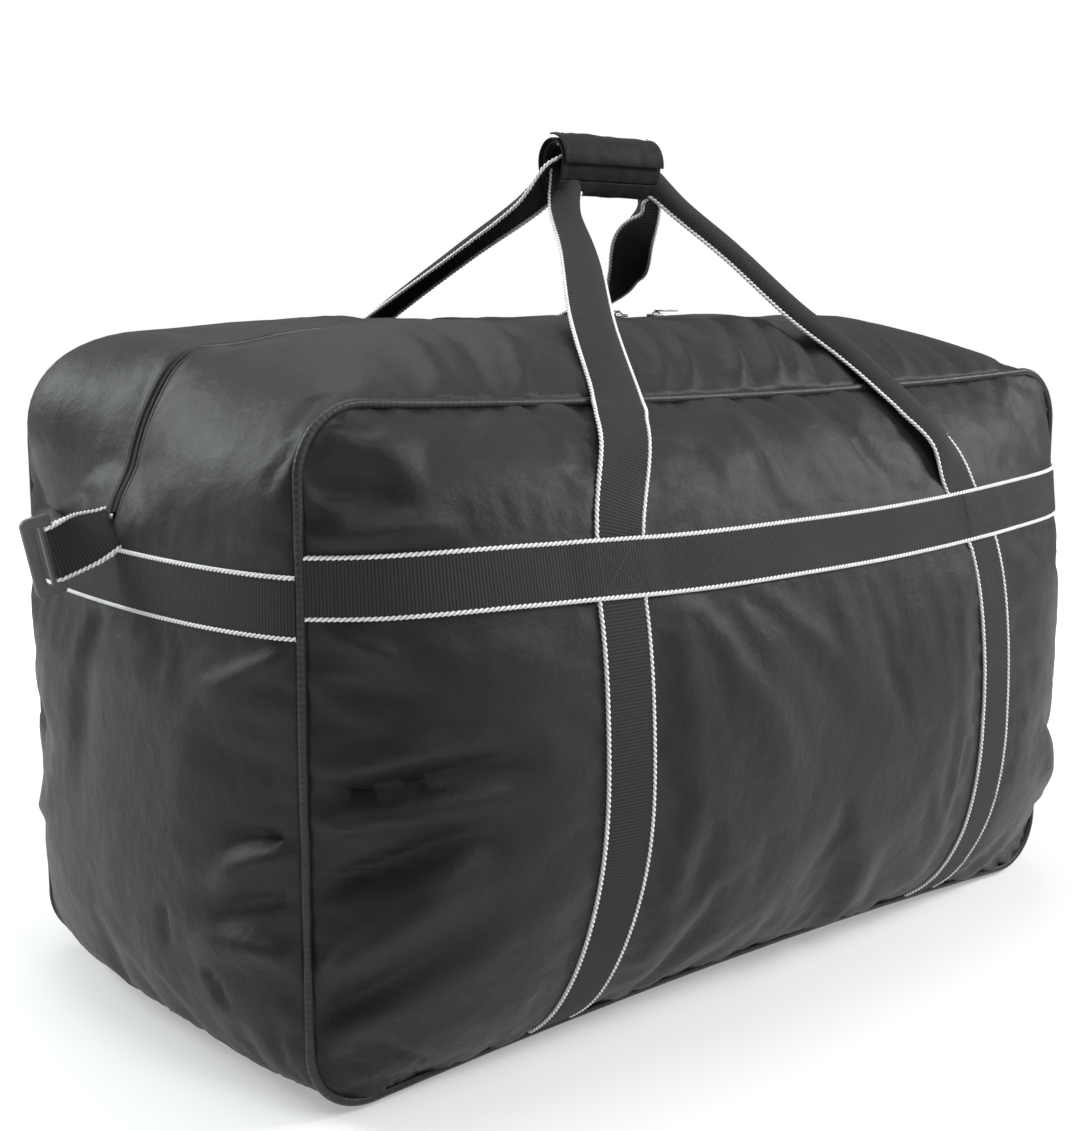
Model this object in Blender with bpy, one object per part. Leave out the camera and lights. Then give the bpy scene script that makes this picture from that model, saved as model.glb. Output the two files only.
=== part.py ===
"""Hockey equipment bag: a large soft duffel with a zipped gusset, piped seams, webbing straps,
two carry handles joined by a wrapped grip, and a strap ring at each end.

Metres, +Z up. X runs along the bag, -Y is the front, and the origin is the centre of the
resting face. The body is a rounded-rectangle seam outline at the front and at the back, joined
by a gusset; every panel, strap and seam is a strip or grid on one of those two surfaces.
"""
import math

import bmesh
import bpy
import numpy as np
from mathutils import Matrix, Vector

# ---- body ------------------------------------------------------------------------------
LENGTH = 0.926            # seam to seam, end to end
HEIGHT = 0.546            # seam outline, bottom to top
DEPTH = 0.452             # front seam to back seam
CORNER = 0.056            # radius of the seam outline's corners
PILLOW = 0.108            # how far the front and back panels bulge past their seams
PILLOW_POWER = 0.77
END_BULGE = 0.039
TOP_BULGE = 0.050
FLAT_HALF = 0.22          # the zipper runs level over this half length of the top
TOP_SAG = 0.012           # dip of the top seams at mid-length
BASE_LIFT = 0.014         # rise of the bottom seams at mid-length
SEAM_RISE = 0.0045        # bottom seams clear the floor by the piping's radius
FABRIC = 0.0015
SPLIT_HEIGHT = 0.396      # the end straps cover the joint of top gusset and end panel here
GAP = 0.0004

HALF_LENGTH, HALF_HEIGHT, HALF_DEPTH = LENGTH / 2, HEIGHT / 2, DEPTH / 2

# ---- seams and zipper --------------------------------------------------------------------
PIPING_RADIUS = 0.0038
SEAM_MARGIN = PIPING_RADIUS + GAP
BINDING_INSET, BINDING_WIDTH, BINDING_THICK = 0.006, 0.009, 0.0015
ZIP_LIP = 0.0065          # from the centre line to each gusset half's folded edge
TAPE_INNER, TAPE_OUTER, TAPE_THICK = 0.0006, 0.016, 0.0008
TAPE_DROP = FABRIC + GAP + 0.0004
COIL_WIDTH, COIL_HEIGHT = 0.0026, 0.0022
ZIP_END_HEIGHT = 0.446
STOP_LENGTH, STOP_HALF, STOP_THICK = 0.007, 0.004, 0.0018

# ---- webbing -----------------------------------------------------------------------------
WEBBING = 0.044
WEBBING_THICK = 0.0015
WEBBING_LIFT = 0.0016
CROSSING_LIFT = 0.0022    # extra height of the waist strap where it crosses a riser
STRAP_HEIGHT = 0.409
END_STRAP_HEIGHT = 0.396
RISER_X = 0.235
RISER_LOW, RISER_BEND_HEIGHT = 0.016, 0.43
RISER_TOP = (0.168, 0.528)     # distance from mid-length, and height, of a riser's upper end
RISER_CROWDING = 1.6           # stations crowd toward the riser's lower end, where it curves most
STRAP_END_GAP = 0.007          # from a waist strap's end to the seam outline
CROSSING_FLAT, CROSSING_RISE = 0.62 * WEBBING, 0.03
END_STRAP_REACH = 0.972        # share of the gusset's half width that an end strap covers

# ---- handle legs: each goes over the seam at two points, then straight to the grip's end ----
LEG_NARROW = 0.024
LEG_THICK = 0.002
LEG_START_SHIFT = (0.001, 0.0015)      # toward mid-length, and up, from the riser's upper end
LEG_OVER = (0.156, 0.012, 0.004)       # distance from mid-length, past the seam, above the seam
LEG_PAST = (0.148, -0.006, 0.018)
LEG_END_GAP, LEG_END_DROP = 0.008, 0.012

# ---- grip --------------------------------------------------------------------------------
GRIP_CENTRE = Vector((0.005, -0.030, 0.740))
GRIP_LENGTH = 0.134
GRIP_HALF = (0.0185, 0.0215)   # half thickness along Y, half height along Z
SPAN_TALL, SPAN_THICK, SPAN_APART = 0.018, 0.0034, 0.016
SPAN_INSET, SPAN_DROP = 0.001, 0.001
# Each layer of the grip: start and finish angle, outer face past GRIP_HALF, thickness, end inset
WRAP = (-30, 318, 0.0, 0.0022, 0.0)
PAD = (60, 300, -0.0026, 0.0020, 0.004)
HOOK_TAPE = (-20, 30, 0.0009, 0.0006, 0.008)
LOOP_TAPE = (-20, 30, 0.0019, 0.0006, 0.008)
FLAP = (-28, 86, 0.0042, 0.0018, 0.0)

# ---- sliders and rings ---------------------------------------------------------------------
SLIDER_X = (0.052, 0.104)
SLIDER_LENGTH, SLIDER_WIDTH, SLIDER_TALL = 0.016, 0.0115, 0.0045
SLIDER_LIFT, SLIDER_SKIRT, SLIDER_CHAMFER = 0.0009, 0.0004, 0.001
SLIDER_GROOVE_HALF, SLIDER_GROOVE_TALL = 0.0038, 0.0008
PULL_LENGTH, PULL_WIDTH, PULL_THICK = 0.030, 0.009, 0.0016
# A pull tab's half outline: distance from its hinge, and half width as a share of the widest
PULL_OUTLINE = ((0.0, 0.6), (0.003, 1.0), (PULL_LENGTH - 0.003, 0.8), (PULL_LENGTH, 0.4))
RING_BAR_X = 0.5445
RING_HEIGHT = 0.4185
RING_TILT = math.radians(12)
RING_BAR_RADIUS = 0.0026
RING_TALL, RING_WIDE, RING_THICK = 0.064, 0.025, 0.0048
RING_SLOT_TALL, RING_SLOT_END = 0.0465, 0.0130
RING_OUTER_CUT, RING_INNER_CUT, RING_SLOT_CUT = 0.006, 0.002, 0.001
LOOP_ROOT = Vector((0.5, 0.0, 0.4325))
LOOP_ROOT_SLANT = math.radians(34)
LOOP_THICK, LOOP_CLEARANCE, LOOP_PINCH = 0.0014, 0.0013, 0.0006


def make_material(name, colour, roughness, metallic=0.0):
    material = bpy.data.materials.new(name)
    material.use_nodes = True
    shader = material.node_tree.nodes["Principled BSDF"]
    shader.inputs["Base Color"].default_value = (*colour, 1.0)
    shader.inputs["Roughness"].default_value = roughness
    shader.inputs["Metallic"].default_value = metallic
    return material


def add_object(name, bm, material, smooth=True):
    """Turns a bmesh into a named object."""
    bm.normal_update()
    mesh = bpy.data.meshes.new(name)
    bm.to_mesh(mesh)
    bm.free()
    if smooth:
        mesh.shade_smooth()
        mesh.set_sharp_from_angle(angle=math.radians(35))
    mesh.materials.append(material)
    obj = bpy.data.objects.new(name, mesh)
    bpy.context.scene.collection.objects.link(obj)
    return obj


def grid_sheet(name, rows, material, thickness, closed=False, flip=False):
    """A sheet through rows of points, given thickness on the side away from its normals."""
    bm = bmesh.new()
    verts = [[bm.verts.new(point) for point in row] for row in rows]
    count = len(rows)
    for i in range(count if closed else count - 1):
        upper, lower = verts[i], verts[(i + 1) % count]
        for j in range(len(upper) - 1):
            corners = [upper[j], upper[j + 1], lower[j + 1], lower[j]]
            bm.faces.new(corners[::-1] if flip else corners)
    obj = add_object(name, bm, material)
    solidify = obj.modifiers.new("thickness", "SOLIDIFY")
    solidify.thickness = thickness
    solidify.offset = -1.0
    return obj


# ---- the two surfaces ----------------------------------------------------------------------

def seam_shift(x, z):
    """Vertical shift of the seam outline: the top dips and the bottom rises at mid-length."""
    middle = 1.0 - min(abs(x) / HALF_LENGTH, 1.0) ** 2
    share = min(max(z / HEIGHT, 0.0), 1.0)
    return (-TOP_SAG * middle * share ** 8, (SEAM_RISE + BASE_LIFT * middle) * (1.0 - share) ** 2)


def outline_share(x, z):
    """0 at the middle of the seam outline, 1 on it, in proportion along each ray."""
    across, up = abs(x), abs(z - HALF_HEIGHT)
    flat_x, flat_z = HALF_LENGTH - CORNER, HALF_HEIGHT - CORNER
    share = max(across / HALF_LENGTH, up / HALF_HEIGHT, 1e-9)
    if across / share <= flat_x or up / share <= flat_z:
        return share
    a = across ** 2 + up ** 2
    b = -2.0 * (across * flat_x + up * flat_z)
    c = flat_x ** 2 + flat_z ** 2 - CORNER ** 2
    return 2.0 * a / (-b + math.sqrt(max(b * b - 4.0 * a * c, 0.0)))


def pillow(x, z):
    """Bulge of the front or back panel past its seam."""
    u = min(abs(x) / HALF_LENGTH, 1.0)
    v = min(abs(z - HALF_HEIGHT) / HALF_HEIGHT, 1.0)
    rim = math.sqrt(max(1.0 - outline_share(x, z) ** 24, 0.0))
    return PILLOW * ((1.0 - u ** 4) * (1.0 - v ** 2.5)) ** PILLOW_POWER * rim


def panel_point(x, z, side):
    """A point of the front (side -1) or back (side 1) panel."""
    dip, rise = seam_shift(x, z)
    return Vector((x, side * (HALF_DEPTH + pillow(x, z)), z + dip + rise))


def panel_normal(x, z, side):
    step = 0.002
    along = panel_point(x + step, z, side) - panel_point(x - step, z, side)
    up = panel_point(x, z + step, side) - panel_point(x, z - step, side)
    return along.cross(up).normalized() * (-side)


def outline_stations():
    """The seam outline as (x, z, normal x, normal z), anticlockwise from the bottom left."""
    flat_x, flat_z = HALF_LENGTH - CORNER, HALF_HEIGHT - CORNER
    split = SPLIT_HEIGHT - HALF_HEIGHT
    end_run = [*np.linspace(-flat_z, split, 5)[1:], *np.linspace(split, flat_z, 3)[1:]]
    base_run = np.linspace(-flat_x, flat_x, 13)[1:]
    sides = (
        ([(x, -HALF_HEIGHT) for x in base_run], (0, -1), (1, -1)),
        ([(HALF_LENGTH, z) for z in end_run], (1, 0), (1, 1)),
        ([(-x, HALF_HEIGHT) for x in base_run], (0, 1), (-1, 1)),
        ([(-HALF_LENGTH, z) for z in [*end_run[::-1][1:], -flat_z]], (-1, 0), (-1, -1)),
    )
    stations = []
    for turn, (run, normal, (across, up)) in enumerate(sides):
        stations += [(x, z + HALF_HEIGHT, *normal) for x, z in run]
        for step in range(1, 5):
            angle = math.radians(-90 + 90 * turn + 22.5 * step)
            nx, nz = math.cos(angle), math.sin(angle)
            x, z = across * flat_x + CORNER * nx, up * flat_z + CORNER * nz
            stations.append((x, z + HALF_HEIGHT, nx, nz))
    return stations


def gusset_point(station, y, lift=0.0):
    """A point of the gusset on the ray of an outline station, y along the depth."""
    x, z, nx, nz = station
    share = min(abs(y) / HALF_DEPTH, 1.0)
    crown = (1.0 - share ** 2.2)
    level = min(abs(z - HALF_HEIGHT) / HALF_HEIGHT, 1.0)
    end = END_BULGE * (1.0 - level ** 3.5) * crown ** 0.68
    past_flat = max(abs(x) - FLAT_HALF, 0.0) / (HALF_LENGTH - FLAT_HALF)
    top = TOP_BULGE * (1.0 - min(past_flat, 1.0) ** 2.4) * crown ** 0.7
    bulge = abs(nx) ** 1.2 * end + max(nz, 0.0) ** 1.2 * top
    dip, rise = seam_shift(x, z)
    near_seam = max(share - 0.5, 0.0) * 2.0
    shift = dip * share ** 3 + rise * near_seam ** 2
    reach = bulge + lift
    return Vector((x + nx * reach, y, z + nz * reach + shift))


def stations_between(low_height, end_gap=0.0):
    """Outline stations over the top, from the right end at low_height to the left end."""
    picked = [s for s in outline_stations() if s[1] > low_height + 0.004]
    first = next(i for i, s in enumerate(picked) if s[0] > 0)
    picked = picked[first:] + picked[:first]
    height = low_height + end_gap
    return ([(HALF_LENGTH, height, 1.0, 0.0)] + picked + [(-HALF_LENGTH, height, -1.0, 0.0)])


def end_stations(side):
    """Outline stations down one end, from under the end strap to the base seam."""
    flat_x = HALF_LENGTH - CORNER
    picked = [s for s in outline_stations()
              if s[1] < SPLIT_HEIGHT - 0.004 and side * s[0] > flat_x + 0.001]
    picked.sort(key=lambda s: -s[1] - side * s[0] * 0.01)
    top = (side * HALF_LENGTH, SPLIT_HEIGHT - GAP, side, 0.0)
    return [top, *picked, (side * (flat_x + GAP), 0.0, 0.0, -1.0)]


# ---- parts -----------------------------------------------------------------------------------

def corner_round(x, z, half_x, half_z, radius):
    """Moves a point of a rectangle's corner square into the quarter circle it holds."""
    dx, dz = abs(x) - (half_x - radius), abs(z) - (half_z - radius)
    if dx <= 0 or dz <= 0:
        return x, z
    reach, ratio = max(dx, dz), min(dx, dz) / max(dx, dz)
    angle = math.radians(45) * ratio
    long_side, short_side = reach * math.cos(angle), reach * math.sin(angle)
    dx, dz = (long_side, short_side) if dx >= dz else (short_side, long_side)
    return math.copysign(half_x - radius + dx, x), math.copysign(half_z - radius + dz, z)


def add_side_panel(name, side, material):
    """The front or back panel, a pillowed rounded rectangle inside its piping."""
    half_x, half_z, radius = (HALF_LENGTH - SEAM_MARGIN, HALF_HEIGHT - SEAM_MARGIN,
                              CORNER - SEAM_MARGIN)
    split = SPLIT_HEIGHT - HALF_HEIGHT
    edge = [0.0, 0.5, 1.0]
    xs = [*(-half_x + radius * t for t in edge[:2]),
          *np.linspace(-half_x + radius, half_x - radius, 13),
          *(half_x - radius + radius * t for t in edge[1:])]
    zs = [*(-half_z + radius * t for t in edge[:2]),
          *np.linspace(-half_z + radius, split, 5), *np.linspace(split, half_z - radius, 3)[1:],
          *(half_z - radius + radius * t for t in edge[1:])]
    rows = []
    for z in zs:
        flat = [corner_round(x, z, half_x, half_z, radius) for x in xs]
        rows.append([panel_point(x, up + HALF_HEIGHT, side) for x, up in flat])
    return grid_sheet(name, rows, material, FABRIC, flip=side > 0)


def add_gusset(name, stations, ys, material, flip=False):
    rows = [[gusset_point(s, y) for y in ys] for s in stations]
    return grid_sheet(name, rows, material, FABRIC, flip=flip)


def add_piping(name, side, material):
    """A corded seam edge: a closed tube on the seam outline."""
    curve = bpy.data.curves.new(name, "CURVE")
    curve.dimensions = "3D"
    curve.bevel_depth = PIPING_RADIUS
    curve.bevel_resolution = 1
    curve.resolution_u = 1
    points = [gusset_point(s, side * HALF_DEPTH) for s in outline_stations()]
    spline = curve.splines.new("POLY")
    spline.points.add(len(points) - 1)
    for slot, point in zip(spline.points, points):
        slot.co = (*point, 1.0)
    spline.use_cyclic_u = True
    curve.materials.append(material)
    obj = bpy.data.objects.new(name, curve)
    bpy.context.scene.collection.objects.link(obj)
    return obj


def add_binding(name, side, material):
    """The tape that covers the raw edges of a seam on the inside."""
    depth = side * (HALF_DEPTH - BINDING_INSET)
    rows = []
    for s in outline_stations():
        dip, rise = seam_shift(s[0], s[1])
        rows.append([Vector((s[0] - s[2] * inset, depth, s[1] - s[3] * inset + dip + rise))
                     for inset in (BINDING_INSET, BINDING_INSET + BINDING_WIDTH)])
    return grid_sheet(name, rows, material, BINDING_THICK, closed=True, flip=side < 0)


def add_zip_strip(name, side, inner, outer, top, thickness, material, low_height=ZIP_END_HEIGHT):
    """A strip along one side of the zipper: a tape or a row of coil."""
    ys = sorted((side * inner, side * outer))
    rows = [[gusset_point(s, y, top) for y in ys] for s in stations_between(low_height)]
    return grid_sheet(name, rows, material, thickness)


def add_stop(name, side, material):
    """The bar that ends the coil above an end strap."""
    rows = []
    for height in (ZIP_END_HEIGHT - GAP, ZIP_END_HEIGHT - STOP_LENGTH):
        station = (side * HALF_LENGTH, height, side, 0.0)
        rows.append([gusset_point(station, y, STOP_THICK) for y in (-STOP_HALF, STOP_HALF)])
    return grid_sheet(name, rows, material, STOP_THICK - GAP / 2, flip=side > 0)


def panel_strip(name, centres, side, width, lifts, material):
    """Webbing on the front or back panel: centres are (x, z), lifts are heights off the panel."""
    rows = []
    for i, (x, z) in enumerate(centres):
        before, after = centres[max(i - 1, 0)], centres[min(i + 1, len(centres) - 1)]
        along = panel_point(*after, side) - panel_point(*before, side)
        across = along.cross(panel_normal(x, z, side)).normalized() * (width / 2)
        row = []
        for share in (-1.0, 0.0, 1.0):
            px, pz = x + across.x * share, z + across.z * share
            row.append(panel_point(px, pz, side) + panel_normal(px, pz, side) * lifts[i])
        rows.append(row)
    return grid_sheet(name, rows, material, WEBBING_THICK)


def riser_centres(end):
    """Centre line of a riser on its panel, bottom seam to top seam; end is -1 left, 1 right."""
    top_x, top_z = RISER_TOP
    heights = np.linspace(0, 1, 16) ** RISER_CROWDING * (RISER_BEND_HEIGHT - RISER_LOW) + RISER_LOW
    upright = [(end * RISER_X, z) for z in heights]
    shares = np.linspace(0, 1, 8)[1:]
    leaning = [(end * (RISER_X + (top_x - RISER_X) * t),
                RISER_BEND_HEIGHT + (top_z - RISER_BEND_HEIGHT) * t) for t in shares]
    return upright + leaning


def add_riser(name, end, side, material):
    centres = riser_centres(end)
    return panel_strip(name, centres, side, WEBBING, [WEBBING_LIFT + WEBBING_THICK] * len(centres),
                       material)


def add_waist_strap(name, side, material):
    """Webbing round the front or back at waist height, over the risers."""
    reach = HALF_LENGTH - STRAP_END_GAP
    centres = [(x, STRAP_HEIGHT) for x in reach * np.sin(np.linspace(-1, 1, 41) * math.pi / 2)]
    lifts = []
    for x, _ in centres:
        away = max(abs(abs(x) - RISER_X) - CROSSING_FLAT, 0.0)
        near = 1.0 - min(away / CROSSING_RISE, 1.0)
        lifts.append(WEBBING_LIFT + WEBBING_THICK + CROSSING_LIFT * near)
    return panel_strip(name, centres, side, WEBBING, lifts, material)


def add_end_strap(name, end, material):
    """Webbing across one end, over the joint of the gusset pieces."""
    rows = []
    for y in HALF_DEPTH * END_STRAP_REACH * np.sin(np.linspace(-1, 1, 17) * math.pi / 2):
        heights = [END_STRAP_HEIGHT + t * WEBBING / 2 for t in (-1, 0, 1)]
        rows.append([gusset_point((end * HALF_LENGTH, z, end, 0.0), y, WEBBING_LIFT + WEBBING_THICK)
                     for z in heights])
    return grid_sheet(name, rows, material, WEBBING_THICK, flip=end > 0)


def leg_route(end, side):
    """Free part of a handle, from a riser's top over the piping to the grip's end."""
    top_x, top_z = RISER_TOP
    start = panel_point(end * top_x, top_z, side)
    start += panel_normal(end * top_x, top_z, side) * (WEBBING_LIFT + WEBBING_THICK)
    start += Vector((-end * LEG_START_SHIFT[0], 0.0, LEG_START_SHIFT[1]))
    over, past = (Vector((end * x, side * (HALF_DEPTH + y), HEIGHT + z))
                  for x, y, z in (LEG_OVER, LEG_PAST))
    grip_end = GRIP_CENTRE.x + end * (GRIP_LENGTH / 2 + LEG_END_GAP)
    finish = Vector((grip_end, GRIP_CENTRE.y + side * SPAN_APART / 2,
                     GRIP_CENTRE.z - LEG_END_DROP))
    return [start, over, past, *(past.lerp(finish, t) for t in (0.25, 0.5, 0.75, 1.0))]


def add_leg(name, end, side, material):
    points = leg_route(end, side)
    rows = []
    for i, point in enumerate(points):
        along = points[min(i + 1, len(points) - 1)] - points[max(i - 1, 0)]
        along.normalize()
        share = max(i - 2, 0) / (len(points) - 3)
        flat = along.cross(Vector((0.0, side, 0.9))).normalized()
        upright = (Vector((0, 0, 1)) - along * along.z).normalized() * math.copysign(1, flat.z)
        across = flat.lerp(upright, share).normalized()
        half = (WEBBING + (LEG_NARROW - WEBBING) * share) / 2
        rows.append([point - across * half, point + across * half])
    return grid_sheet(name, rows, material, LEG_THICK)


def add_slab(name, low, high, material, bevel=0.0006):
    """A plain slab with softened edges."""
    bm = bmesh.new()
    bmesh.ops.create_cube(bm, size=1.0)
    bmesh.ops.scale(bm, vec=high - low, verts=bm.verts)
    bmesh.ops.translate(bm, vec=(high + low) / 2, verts=bm.verts)
    obj = add_object(name, bm, material, smooth=False)
    rounding = obj.modifiers.new("edges", "BEVEL")
    rounding.width = bevel
    rounding.segments = 1
    return obj


def wrap_arc(name, layer, material, steps=12):
    """Part of the oval tube round the handles; angles run from -Y (front) up over +Z."""
    start, finish, offset, thickness, inset = layer
    half_y, half_z = GRIP_HALF[0] + offset, GRIP_HALF[1] + offset
    reach = GRIP_LENGTH / 2 - inset
    x_low, x_high = GRIP_CENTRE.x - reach, GRIP_CENTRE.x + reach
    rows = []
    for t in np.linspace(start, finish, steps + 1):
        y = GRIP_CENTRE.y - half_y * math.cos(math.radians(t))
        z = GRIP_CENTRE.z + half_z * math.sin(math.radians(t))
        rows.append([Vector((x_low, y, z)), Vector((x_high, y, z))])
    return grid_sheet(name, rows, material, thickness)


def add_grip(fabric, tape, webbing):
    """The padded wrap, its closing flap with hook and loop tape, and the handles inside it."""
    wrap_arc("grip_wrap", WRAP, fabric, steps=24)
    wrap_arc("grip_pad", PAD, fabric)
    wrap_arc("grip_hook_tape", HOOK_TAPE, tape, steps=4)
    wrap_arc("grip_loop_tape", LOOP_TAPE, tape, steps=4)
    wrap_arc("grip_flap", FLAP, fabric, steps=9)
    half = Vector((GRIP_LENGTH / 2 - SPAN_INSET, SPAN_THICK / 2, SPAN_TALL / 2))
    for name, side in (("front_handle_span", -1), ("back_handle_span", 1)):
        centre = GRIP_CENTRE + Vector((0.0, side * SPAN_APART / 2, -SPAN_DROP))
        add_slab(name, centre - half, centre + half, webbing)


def zipper_crest():
    """Height of the zipper's line at mid-length."""
    return gusset_point((0.0, HEIGHT, 0.0, 1.0), 0.0).z


def extruded(name, points, shift, material):
    """A solid between an outline and its copy moved by shift."""
    bm = bmesh.new()
    base = bm.faces.new([bm.verts.new(point) for point in points])
    made = bmesh.ops.extrude_face_region(bm, geom=[base])
    moved = [v for v in made["geom"] if isinstance(v, bmesh.types.BMVert)]
    bmesh.ops.translate(bm, vec=shift, verts=moved)
    bmesh.ops.recalc_face_normals(bm, faces=bm.faces)
    return add_object(name, bm, material, smooth=False)


def add_slider(name, x, material):
    """A zipper slider: a body that straddles the coil, with a bridge for its pull tab."""
    half, groove = SLIDER_WIDTH / 2, SLIDER_GROOVE_HALF
    floor = zipper_crest() + SLIDER_LIFT
    skirt, roof = floor - SLIDER_SKIRT, floor + SLIDER_TALL
    half_outline = [(groove, floor + SLIDER_GROOVE_TALL), (groove, skirt), (half, skirt),
                    (half, roof - SLIDER_CHAMFER), (half - SLIDER_CHAMFER, roof)]
    outline = half_outline + [(-y, z) for y, z in half_outline[::-1]]
    points = [(x - SLIDER_LENGTH / 2, y, z) for y, z in outline]
    return extruded(name, points, (SLIDER_LENGTH, 0, 0), material)


def add_pull(name, x, direction, material):
    """A pull tab with an eye at its slider, lying flat along direction."""
    bottom = zipper_crest() + SLIDER_LIFT + SLIDER_TALL + GAP
    edge = [(along, -share * PULL_WIDTH / 2) for along, share in PULL_OUTLINE]
    outline = edge + [(along, -across) for along, across in edge[::-1]]
    points = [(x + direction * (along - PULL_THICK / 2), across, bottom)
              for along, across in outline]
    return extruded(name, points, (0, 0, PULL_THICK), material)


def ring_frame(end):
    """Places the ring's own axes: first outward along the bag, second up along its bar."""
    lean = Matrix.Rotation(end * RING_TILT, 4, "Y")
    place = Matrix.Translation((end * RING_BAR_X, 0.0, RING_HEIGHT))
    return place @ lean @ Matrix.Scale(-1 if end < 0 else 1, 4, (1, 0, 0))


def cut_rectangle(low, high, half, low_cut, high_cut):
    """A rectangle from low to high, half as tall each way, with its four corners cut."""
    side = [(low, low_cut), (low + low_cut, 0.0), (high - high_cut, 0.0), (high, high_cut)]
    return [(x, rise - half) for x, rise in side] + [(x, half - rise) for x, rise in side[::-1]]


def add_ring(name, end, material):
    """A flat plastic ring: a rounded plate with one slot, turning on its inner bar."""
    outer = cut_rectangle(-RING_BAR_RADIUS, RING_WIDE - RING_BAR_RADIUS, RING_TALL / 2,
                          RING_INNER_CUT, RING_OUTER_CUT)
    inner = cut_rectangle(RING_BAR_RADIUS, RING_SLOT_END, RING_SLOT_TALL / 2,
                          RING_SLOT_CUT, RING_SLOT_CUT)
    bm = bmesh.new()
    layers = []
    for depth in (-RING_THICK / 2, RING_THICK / 2):
        layers.append([[bm.verts.new((x, depth, z)) for x, z in loop] for loop in (outer, inner)])
    count = len(outer)
    for i in range(count):
        j = (i + 1) % count
        (low_out, low_in), (high_out, high_in) = layers
        bm.faces.new((low_out[i], low_out[j], low_in[j], low_in[i]))
        bm.faces.new((high_out[j], high_out[i], high_in[i], high_in[j]))
        bm.faces.new((low_out[j], low_out[i], high_out[i], high_out[j]))
        bm.faces.new((low_in[i], low_in[j], high_in[j], high_in[i]))
    bm.transform(ring_frame(end))
    bmesh.ops.recalc_face_normals(bm, faces=bm.faces)
    obj = add_object(name, bm, material, smooth=False)
    rounding = obj.modifiers.new("edges", "BEVEL")
    rounding.width = 0.0007
    rounding.segments = 1
    rounding.limit_method = "ANGLE"
    return obj


def add_loop(name, end, material):
    """Webbing from under the end strap, round the ring's bar and back, turning as it goes."""
    frame = ring_frame(end)
    bar, bar_axis = frame.translation, (frame.to_3x3() @ Vector((0, 0, 1))).normalized()
    root = Vector((end * LOOP_ROOT.x, LOOP_ROOT.y, LOOP_ROOT.z))
    root_axis = Vector((0.0, math.cos(LOOP_ROOT_SLANT), math.sin(LOOP_ROOT_SLANT)))
    reach = RING_BAR_RADIUS + LOOP_CLEARANCE
    stations = []
    for side in (1, -1):
        shares = np.linspace(0.0, 1.0, 7) if side > 0 else np.linspace(1.0, 0.0, 7)
        for share in shares:
            centre = root.lerp(bar, share)
            across = root_axis.lerp(bar_axis, share).normalized()
            normal = (bar - root).cross(across).normalized()
            apart = LOOP_PINCH + (reach - LOOP_PINCH) * share
            stations.append((centre + normal * apart * side, across))
        if side > 0:
            outward = (bar - root).normalized()
            normal = outward.cross(bar_axis).normalized()
            for turn in np.radians((30, 60, 90, 120, 150)):
                offset = normal * math.cos(turn) + outward * math.sin(turn)
                stations.append((bar + offset * reach, bar_axis))
    rows = [[point - across * WEBBING / 2, point + across * WEBBING / 2]
            for point, across in stations]
    return grid_sheet(name, rows, material, -LOOP_THICK, flip=True)


def build():
    for obj in list(bpy.data.objects):
        bpy.data.objects.remove(obj)

    polyester = make_material("polyester", (0.045, 0.045, 0.050), 0.62)
    cord = make_material("piping", (0.03, 0.03, 0.033), 0.55)
    webbing = make_material("webbing", (0.028, 0.028, 0.029), 0.75)
    tape = make_material("tape", (0.02, 0.02, 0.021), 0.8)
    metal = make_material("zip_metal", (0.30, 0.30, 0.31), 0.35, 1.0)
    plastic = make_material("ring_plastic", (0.28, 0.28, 0.27), 0.5)

    for name, side in (("front", -1), ("back", 1)):
        add_side_panel(f"{name}_panel", side, polyester)
        add_piping(f"{name}_piping", side, cord)
        add_binding(f"{name}_seam_binding", side, tape)
        add_waist_strap(f"{name}_waist_strap", side, webbing)
        edge = HALF_DEPTH - SEAM_MARGIN
        ys = sorted(side * y for y in (*np.linspace(edge, 0.02, 5), ZIP_LIP))
        add_gusset(f"top_gusset_{name}", stations_between(SPLIT_HEIGHT, GAP), ys, polyester)
        add_zip_strip(f"zipper_tape_{name}", side, TAPE_INNER, TAPE_OUTER, -TAPE_DROP, TAPE_THICK,
                      tape)
        add_zip_strip(f"zipper_coil_{name}", side, GAP / 2 + 0.0001, COIL_WIDTH,
                      COIL_HEIGHT - TAPE_DROP + GAP, COIL_HEIGHT, tape)
        for end_name, end in (("left", -1), ("right", 1)):
            add_riser(f"{name}_{end_name}_riser", end, side, webbing)
            add_leg(f"{name}_{end_name}_handle_leg", end, side, webbing)

    across = (HALF_DEPTH - SEAM_MARGIN) * np.linspace(-1, 1, 9)
    for name, end in (("left", -1), ("right", 1)):
        add_gusset(f"{name}_end_panel", end_stations(end), across, polyester, flip=end > 0)
        add_end_strap(f"{name}_end_strap", end, webbing)
        add_stop(f"zipper_stop_{name}", end, metal)
        add_ring(f"{name}_strap_ring", end, plastic)
        add_loop(f"{name}_ring_loop", end, webbing)
    base_end = HALF_LENGTH - CORNER - GAP
    base = [(x, 0.0, 0.0, -1.0) for x in np.linspace(-base_end, base_end, 13)]
    add_gusset("base_panel", base, across, polyester)

    add_grip(polyester, tape, webbing)
    for name, x, direction in (("left", SLIDER_X[0], -1), ("right", SLIDER_X[1], 1)):
        add_slider(f"zipper_slider_{name}", x, metal)
        add_pull(f"zipper_pull_{name}", x, direction, metal)


build()
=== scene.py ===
import math

import bmesh
import bpy
import numpy as np
from mathutils import Euler, Matrix, Vector, noise


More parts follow.
